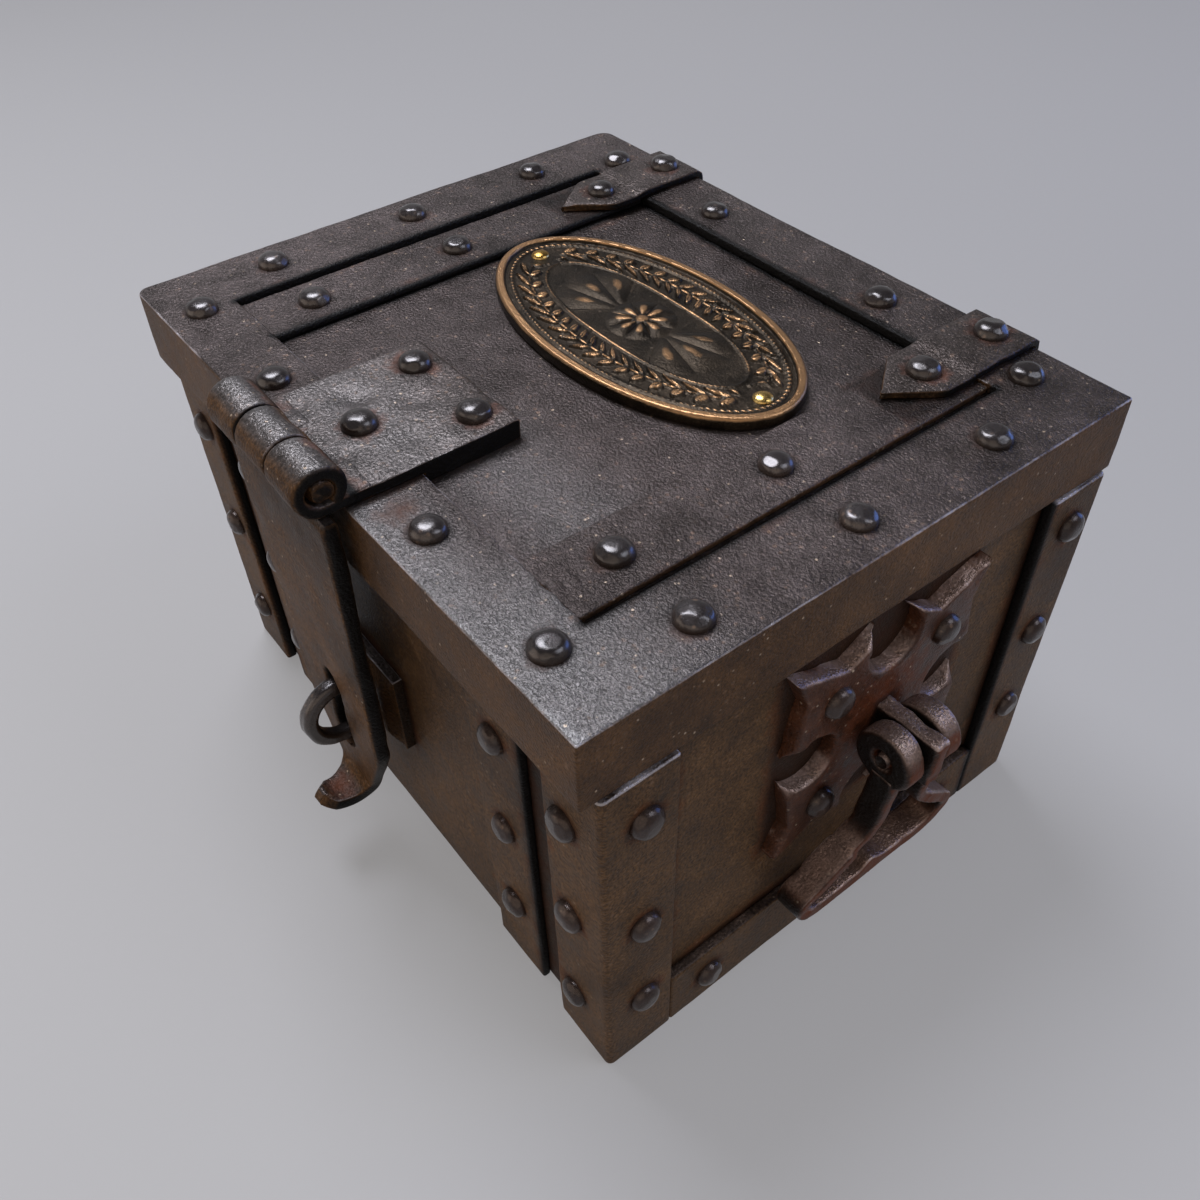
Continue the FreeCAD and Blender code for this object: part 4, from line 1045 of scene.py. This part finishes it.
halfWidth = halfWidth * np.sqrt(tip ** hasp["tipRound"])
rise = np.clip((hasp["slotHigh"] - path[:, 1]) / hasp["slotTopRun"], 0, 1)
sink = np.clip((path[:, 1] - hasp["slotLow"]) / hasp["slotFootRun"], 0, 1)
opening = np.where(np.arange(len(path)) < rows, np.sqrt(rise * (2 - rise)) * np.sqrt(sink * (2 - sink)), 0)
isOpen = opening > hasp["openFrom"]
slotEdge = np.maximum(hasp["slotHalf"] * opening, hasp["slotLeast"])
near = np.array(hasp["borderSteps"])
inner = np.linspace(0, 1, 8)[1:-1]
room = (halfWidth - slotEdge)[:, None]
border = np.minimum(near, hasp["borderMost"] * room * near / near[-1])
away = slotEdge[:, None] + np.concatenate([border, border[:, -1:] + (room - 2 * border[:, -1:]) * inner,
                                           room - border[:, ::-1]], 1)
x = np.concatenate([-away[:, ::-1], away], 1)
toEdge = halfWidth[:, None] - np.abs(x)
toSlot = np.where(isOpen[:, None], np.abs(x) - slotEdge[:, None], farAway)
toEnd = np.minimum(run, run[-1] - run)[:, None]
toEdge = np.minimum(np.minimum(toEdge, toSlot), toEnd)
half = (hasp["thick"] / 2 - atEdge(toEdge, hasp["edge"]))[..., None]
ahead = unit(np.gradient(path, axis=0))
outward = np.stack([np.zeros(len(path)), ahead[:, 1], -ahead[:, 0]], 1)[:, None]
spine = np.stack(np.broadcast_arrays(x + haspX, path[:, :1], path[:, 1:]), -1)
quads = grid(*x.shape).reshape(len(path) - 1, -1, 4)
keep = np.ones(quads.shape[:2], bool)
keep[isOpen[1:] | isOpen[:-1], away.shape[1] - 1] = False
front, behind = spine + half * outward, spine - half * outward
sheet = closedSheet(front.reshape(-1, 3), behind.reshape(-1, 3), quads[keep])
# the strap: darker sides, rust at the lip, painted shadow under the knuckle and in two more spots
makePiece("hasp_strap_iron", sheet, forgedIron, "hasp", "forged_iron", ["hasp"], weather=(0.3, 0.1),
          dents=(60, 5.0, 0.25), sooty=(1, 0, 0),
          spots=[((haspX, curlY, hasp["curlZ"] - curlMean), hasp["lipRust"])],
          shadeSpots=[((haspX + across, midY, z), radius) for across, z, radius in hasp["shadeSpots"]])
curl = arc(barrel, mean, hasp["knuckleFrom"], hasp["knuckleFrom"] - hasp["knuckleTurn"], 50)
curl = np.concatenate([[(midY, hasp["topZ"] + up) for up in hasp["tail"]], curl])
roll = strip(curl, haspX, hasp["knuckleHalf"], thick, hasp["knuckleEdge"])
shineZ = barrel[1] + hasp["shineUp"]
# the knuckle: darker ends and a painted highlight on its top
makePiece("hasp_knuckle_iron", roll, forgedIron, "hasp", "forged_iron", ["hasp"],
          weather=(0.35, 0.2), dents=(25, 4.0, 0.35), sooty=(0.9, 0, 0),
          shine=[((haspX - hasp["shineHalf"], barrel[0], shineZ),
                  (haspX + hasp["shineHalf"], barrel[0], shineZ), *leaf["rollShine"])])

# staple: a bar bent to a loop through the slot, on a bevelled plate
staple = {"half": 2.5, "edge": 1.5, "legY": -92, "sunk": 1, "plateEdge": 6.0, "fall": 2.6}
low, high = boxMm("staple")
middle = (low[2] + high[2]) / 2
mean = (high[2] - low[2]) / 2 - staple["half"]
loopY = low[1] + mean + staple["half"]
bow = arc((loopY, middle), mean, 90, 270, 30)
footY = high[1] - staple["sunk"]
path = np.concatenate([[(footY, middle + mean), (staple["legY"], middle + mean)], bow,
                       [(staple["legY"], middle - mean), (footY, middle - mean)]])
ironPiece("staple", strip(path, haspX, staple["half"], staple["half"], staple["edge"]),
          rivetIron, "box", "forged_iron", weather=(0.2, 0.1), dents=(20, 3.0, 0.25))
low, high = boxMm("staple_plate")
verts, quads, caps = block(low, high, staple["edge"] / 3, 1.0)
toSide = np.minimum(verts - low, high - verts)[:, [0, 2]].min(1)
facing = (high[1] - verts[:, 1]) / (high[1] - low[1])
verts[:, 1] += staple["fall"] * (1 - smooth(toSide, 0, staple["plateEdge"])) * facing
forgedPiece("staple_plate", (verts, quads, caps), "box", weather=(0.15, 0.08), sooty=(0.85, 0, 0))
print("stage 7: hasp ready")

# handle: lobed backplate, lug, pin and a drop handle bent from flat bar with two eyes
pivot = np.array(frame["joints"][2]["pos_m"]) / mm
low, high = boxMm("right_handle_plate")
centre = (low[1:] + high[1:]) / 2
lobe = np.array(handle["lobe"])
up, out, bite = handle["biteUp"], handle["biteOut"], handle["bite"]
side, top = handle["mouthOut"], handle["mouthUp"]
flat = np.concatenate([arc((out, 0), bite, -side, side - 360), lobe,
                       arc((0, up), bite, top, -180 - top), lobe[::-1] * (-1, 1),
                       arc((-out, 0), bite, 180 - side, side - 180), -lobe,
                       arc((0, -up), bite, 180 + top, -top), lobe[::-1] * (1, -1)])
horns = np.array([(a * s, b * t) for a, b in handle["horns"] for s in (1, -1) for t in (1, -1)])
flat = softened(flat, handle["soften"], handle["outlineStep"]) + centre
plate = slab(flat, low[0], high[0] + handle["proud"], handle["edge"], handle["plateStep"], horns + centre,
             handle["hornRun"], handle["hornThin"])
lug = block(*boxMm("right_handle_lug"), handle["lugEdge"], handle["lugStep"])
low, high = boxMm("right_handle_pin")
pin = turnedPin(handle["pinEnd"], high[1] - low[1], np.array([pivot[0], low[1], pivot[2]]), (0, 1, 0))
way = np.array(handle["way"])
corners = np.concatenate([way, way[::-1] * (-1, 1)])
bends = handle["bends"] + handle["bends"][::-1]
stirrup = outline([(*spot, bend) for spot, bend in zip(corners, bends)], 1.0)
stirrup = stirrup[stirrup[:, 1] < handle["startZ"]]
bulge = handle["cusp"] * np.exp(-np.abs(stirrup[:, 0]) / handle["cuspHalf"])
bulge = bulge * (stirrup[:, 1] < handle["cuspZ"])
thicker = smooth(-stirrup[:, 1], *handle["gripFrom"])
halfBar = handle["arm"] + (handle["grip"] - handle["arm"]) * thicker + bulge / 2
halfDeep = handle["depth"] - handle["armSlim"] + handle["armSlim"] * thicker
lean = handle["lean"] * np.clip((-stirrup[:, 1] - handle["neck"]) / handle["leanRun"], 0, 1)
path = np.stack([pivot[0] + handle["shift"] - lean, pivot[1] + stirrup[:, 0],
                 pivot[2] + stirrup[:, 1] + bulge / 2], 1)
ring = bar(path, (1, 0, 0), halfDeep, halfBar, handle["barEdge"], step=1.0)
eyeMean = (handle["eye"] + handle["bore"]) / 2
circle = arc((pivot[0], pivot[2]), eyeMean, 0, 360, 61)[:-1]
eyes = []
for s in (-1, 1):
    around = np.column_stack([circle[:, 0], np.full(60, pivot[1] + s * handle["eyeOut"]), circle[:, 1]])
    eyes.append(bar(around, (0, 1, 0), handle["eyeHalf"], (handle["eye"] - handle["bore"]) / 2,
                    handle["eyeEdge"], closed=True))
loop = joined([ring] + eyes)
# handles: a painted highlight over upward faces, lug, pin and loop darker on faces along y, rust on their
# outer faces
for hand, side in (("right", 1), ("left", -1)):
    shine = [[(side * pivot[0], y, pivot[2]) for y in handle["shineY"]]
             + [handle["shineRadius"], handle["shineMost"]]]
    for name, shape, body in (("handle_plate", plate, "box"), ("handle_lug", lug, "box"),
                              ("handle_pin", pin, "box"), ("drop_handle", loop, hand + "_handle")):
        shape = shape if hand == "right" else mirroredX(shape)
        isPlate = name == "handle_plate"
        ironPiece(hand + "_" + name, shape, handleIron, body, "forged_iron", weather=(0.2, 0.15),
                  reach=26.0, stains=[hand + "_handle_lug"] if isPlate else [], seats=(),
                  sooty=(0, 0, 0) if isPlate else handle["sooty"], dents=(60, 3.0, 0.25),
                  rusty=(0, 0, 0) if isPlate else (side, 0, 0), shine=shine)
print("stage 8: handles ready")

# plaque: oval height field; rim, rope border, laurel band and a rosette with two palmettes
plaque = {"rim": 3.2, "rimSlope": 0.8, "roundRun": 0.9, "roundFall": 0.6, "rope": 5.2, "ropeHalf": 0.75,
          "ropeHigh": 0.55, "strands": 150, "leafMid": 11.5, "leafHalf": 4.8, "leaves": 38,
          "bladeRoot": 0.42, "bladeSlant": 0.75, "bladeHalf": 0.3, "vein": 0.05, "veinDeep": 0.35,
          "stemHalf": 0.12, "stemHigh": 0.6, "pinIn": 9.4, "pinClear": (5.0, 8.0), "line": 17.8,
          "lineHalf": 0.6, "lineHigh": 0.4, "inside": 18, "petalRun": 10.5, "petals": 4, "boss": 3.2,
          "fanX": 9, "fanWide": 1.35, "fanFrom": 3, "fanRun": 21, "fanRays": 4.5, "fanTurn": 1.15,
          "fanFade": 0.15, "fanHigh": 0.85, "relief": 0.95, "bareFrom": 0.45, "bareFull": 1.1,
          "pinRadius": 3.0, "pinHigh": 1.5, "pinSunk": 0.05}


def crest(offset, half):
    # half-round ridge: the root of 1 - (offset / half) squared, 0 beyond
    return np.sqrt(np.clip(1 - (offset / half) ** 2, 0, None))


low, high = boxMm("plaque")
centre = (low + high) / 2
halfLong, halfShort = (high - low)[:2] / 2
fieldZ = boxMm("plaque_pins")[0][2]
theta = np.linspace(0, 2 * np.pi, 520, endpoint=False)
rho = np.concatenate([np.linspace(0.01, 0.9, 84), np.linspace(0.9, 0.996, 22)[1:]])[:, None]
px, py = halfLong * rho * np.cos(theta), halfShort * rho * np.sin(theta)
inFrom = (1 - rho) * rho / np.sqrt((px / halfLong ** 2) ** 2 + (py / halfShort ** 2) ** 2)
edgeStep = np.hypot(halfLong * np.sin(theta), halfShort * np.cos(theta))
around = np.cumsum(edgeStep) / edgeStep.sum()
raised = high[2] - fieldZ
height = raised * (1 - smooth(inFrom, plaque["rim"] - plaque["rimSlope"], plaque["rim"]))
height = height - plaque["roundFall"] * (1 - smooth(inFrom, 0.0, plaque["roundRun"]))
twist = 0.75 + 0.25 * np.cos(2 * np.pi * plaque["strands"] * around + 2 * inFrom)
height = height + plaque["ropeHigh"] * crest(inFrom - plaque["rope"], plaque["ropeHalf"]) * twist
side = (inFrom - plaque["leafMid"]) / plaque["leafHalf"]
phase = (plaque["leaves"] * around[None] * np.ones_like(rho)) % 1 - 0.5
bladeMid = plaque["bladeRoot"] - plaque["bladeSlant"] * np.abs(side)
bladeHalf = plaque["bladeHalf"] * np.sin(np.pi * np.clip(np.abs(side), 0, 1) ** 0.8) + 1e-6
offset = (phase - bladeMid + 0.5) % 1 - 0.5
blade = crest(offset, bladeHalf) * (np.abs(side) < 1)
blade = blade * (1 - plaque["veinDeep"] * np.exp(-(offset / plaque["vein"]) ** 2))
stem = plaque["stemHigh"] * crest(side, plaque["stemHalf"])
pinX = halfLong - plaque["pinIn"]
pinOff = np.minimum(np.hypot(px - pinX, py), np.hypot(px + pinX, py))
height = height + plaque["relief"] * np.maximum(blade, stem) * smooth(pinOff, *plaque["pinClear"])
height = height + plaque["lineHigh"] * crest(inFrom - plaque["line"], plaque["lineHalf"])
fromMiddle = np.hypot(px, py)
spin = np.arctan2(py, px)
petal = np.sin(np.pi * np.clip(fromMiddle / plaque["petalRun"], 0, 1)) ** 0.7
petal = petal * np.abs(np.cos(plaque["petals"] * spin)) ** 0.7
boss = crest(fromMiddle, plaque["boss"])
fanX = np.abs(px) - plaque["fanX"]
fanY = plaque["fanWide"] * py
fanTurn = np.arctan2(fanY, fanX)
fanOut = np.clip((np.hypot(fanX, fanY) - plaque["fanFrom"]) / plaque["fanRun"], 0, 1)
palm = np.sin(np.pi * fanOut) ** 0.8 * np.abs(np.cos(plaque["fanRays"] * fanTurn)) ** 0.8
palm = plaque["fanHigh"] * palm * smooth(plaque["fanTurn"] - np.abs(fanTurn), 0, plaque["fanFade"])
flower = np.maximum(np.maximum(petal, boss), palm) * (inFrom > plaque["inside"])
height = height + plaque["relief"] * flower
top = np.stack([centre[0] + px, centre[1] + py, fieldZ + height], -1)
wallRho = np.array([1.0, 1.0, 0.985])[:, None]
wallZ = np.array([fieldZ + raised - 1.3, low[2] + 0.8, low[2]])[:, None] * np.ones_like(theta)
edge = np.stack([centre[0] + halfLong * wallRho * np.cos(theta),
                 centre[1] + halfShort * wallRho * np.sin(theta), wallZ], -1)
makePiece("plaque_bronze", tube(np.concatenate([top, edge])), bronze, "lid", "bronze_plaque", ["plaque"],
          weather=(0.06, 0.03), seats=(), relief=(fieldZ + plaque["bareFrom"], fieldZ + plaque["bareFull"]))
pins = []
for low, high in solidsOf("plaque_pins"):
    t = np.linspace(0, 0.49 * np.pi, 10)
    dome = np.stack([plaque["pinRadius"] * np.cos(t), plaque["pinHigh"] * np.sin(t)], 1)
    base = np.array([(low[0] + high[0]) / 2, (low[1] + high[1]) / 2, low[2] - plaque["pinSunk"]])
    pins.append(lathe(dome, base, (0, 0, 1)))
makePiece("plaque_pins_brass", joined(pins), brass, "lid", "brass_pins", ["plaque_pins"],
          weather=(0.05, 0.03), seats=())
print("stage 9: plaque ready")


def seenRay(tree):
    # 1 for rays that show a thing to the camera, straight or by reflection or through glass, else 0
    light = addNode(tree, "LightPath", {}).outputs
    seen = maths(tree, "MAXIMUM", light["Is Camera Ray"], light["Is Glossy Ray"])
    return maths(tree, "MAXIMUM", seen, light["Is Transmission Ray"])


def standAt(name, data, right, back, place):
    # an object whose own axes are right, up and back, up being back crossed with right
    stand = bpy.data.objects.new(name, data)
    up = unit(np.cross(back, right))
    columns = np.column_stack([right, up, np.cross(right, up), place])
    stand.matrix_world = Matrix(np.vstack([columns, [0, 0, 0, 1]]).tolist())
    bpy.context.scene.collection.objects.link(stand)
    return stand


# floor: a wide pale board that keeps the shadow
studio = {"floorColour": "#afaeaf", "farColour": "#9d9c9e", "boardColour": "#6f6c68", "glow": 0.55,
          "floorHalf": 6.0, "paintedFalloffWay": (0.2, -1.0, 0.0), "fade": (-0.5, 0.4), "fleckMm": 3,
          "rough": (0.7, 0.95), "ceiling": "#38383c", "ceilingFrom": (0.15, 0.7), "lowSky": "#fff0e0",
          "highSky": "#eef1f8", "skyTo": 0.7, "horizon": 0.22, "zenith": 0.45}
floorMesh = bpy.data.meshes.new("studio_floor")
half = studio["floorHalf"]
corners = [(-half, -half, 0), (half, -half, 0), (half, half, 0), (-half, half, 0)]
floorMesh.from_pydata(corners, [], [(0, 1, 2, 3)])

# matt card: grey and shadow-keeping to the camera, darker to the light that bounces off it
floorMaterial = bpy.data.materials.new("mattStudioBoard")
tree = freshTree(floorMaterial)
spot = addNode(tree, "TexCoord", {}).outputs["Object"]
fleck = noise(tree, spot, studio["fleckMm"], 4.0, 0.5)
rough = span(tree, fleck, 0.0, 1.0, *studio["rough"])
# painted falloff: the board paler towards the camera and darker away from it, as light falls off
along = addNode(tree, "VectorMath", {0: spot, 1: studio["paintedFalloffWay"]}, operation="DOT_PRODUCT")
along = span(tree, along.outputs["Value"], *studio["fade"], interpolation_type="SMOOTHSTEP")
colour = tinted(tree, along, studio["farColour"], studio["floorColour"])
pale = shader(tree, "BsdfPrincipled", {"Base Color": colour, "Roughness": rough})
glow = shader(tree, "Emission", {"Color": colour})
pale = shader(tree, "MixShader", {0: studio["glow"], 1: pale, 2: glow})
board = shader(tree, "BsdfPrincipled", {"Base Color": linear(studio["boardColour"]), "Roughness": rough})
surface = shader(tree, "MixShader", {0: seenRay(tree), 1: board, 2: pale})
addNode(tree, "OutputMaterial", {"Surface": surface})
floorMesh.materials.append(floorMaterial)
floor = bpy.data.objects.new("studio_floor", floorMesh)
bpy.context.scene.collection.objects.link(floor)

# world: a soft sky for the light, a grey drape with a dark ceiling for what is seen
world = bpy.data.worlds.new("studio")
bpy.context.scene.world = world
tree = freshTree(world)
way = addNode(tree, "TexCoord", {}).outputs["Generated"]
height = addNode(tree, "SeparateXYZ", {"Vector": way}).outputs["Z"]
level = span(tree, height, first=studio["horizon"], last=studio["zenith"])
tint = tinted(tree, span(tree, height, high=studio["skyTo"]), studio["lowSky"], studio["highSky"])
sky = shader(tree, "Background", {"Color": tint, "Strength": level})
rise = span(tree, height, *studio["ceilingFrom"], interpolation_type="SMOOTHSTEP")
drape = tinted(tree, rise, studio["farColour"], studio["ceiling"])
drape = shader(tree, "Background", {"Color": drape})
surface = shader(tree, "MixShader", {0: seenRay(tree), 1: sky, 2: drape})
addNode(tree, "OutputWorld", {"Surface": surface})

# soft boxes: name, place, aimed at, size, watts, colour
lamps = [("key", (-0.65, 0.05, 1.45), (0, 0, 0.12), 0.8, 26.5, "#f1f4ff"),
         ("rim", (0.8, 0.6, 1.2), (0, 0, 0.1), 0.8, 6, "#eaf0ff"),
         ("fill", (0.9, -1.0, 0.9), (0, 0, 0.08), 1.8, 5, "#ffeedd"),
         ("front", (-0.45, -1.2, 0.45), (0, 0, 0.08), 1.2, 3.2, "#ffeedd"),
         ("window", (0.35, 1.3, 0.4), (0, 0, 0.12), 0.7, 3.2, "#5f93ff")]
for name, place, aim, size, watts, colour in lamps:
    lamp = bpy.data.lights.new(name, "AREA")
    lamp.shape = "DISK"
    lamp.size = size
    lamp.energy = watts
    lamp.color = linear(colour)[:3]
    back = unit(np.array(place) - np.array(aim))
    standAt(name, lamp, unit(np.cross((0, 0, 1), back)), back, place)

# camera set where the photograph was taken from
shot = {"place": (0.22766, -0.16984, 0.33241), "right": (0.61269, 0.79002, -0.02192),
        "back": (0.56909, -0.42177, 0.70587), "lens": 33.68, "sensor": 36, "nearest": 0.01}
eye = bpy.data.cameras.new("photo_camera")
eye.lens = shot["lens"]
eye.sensor_width = shot["sensor"]
eye.clip_start = shot["nearest"]
right, back = unit(np.array([shot["right"], shot["back"]]))
bpy.context.scene.camera = standAt("photo_camera", eye, right, back, shot["place"])
bpy.context.scene.view_settings.view_transform = "Standard"
print("stage 10: studio ready")
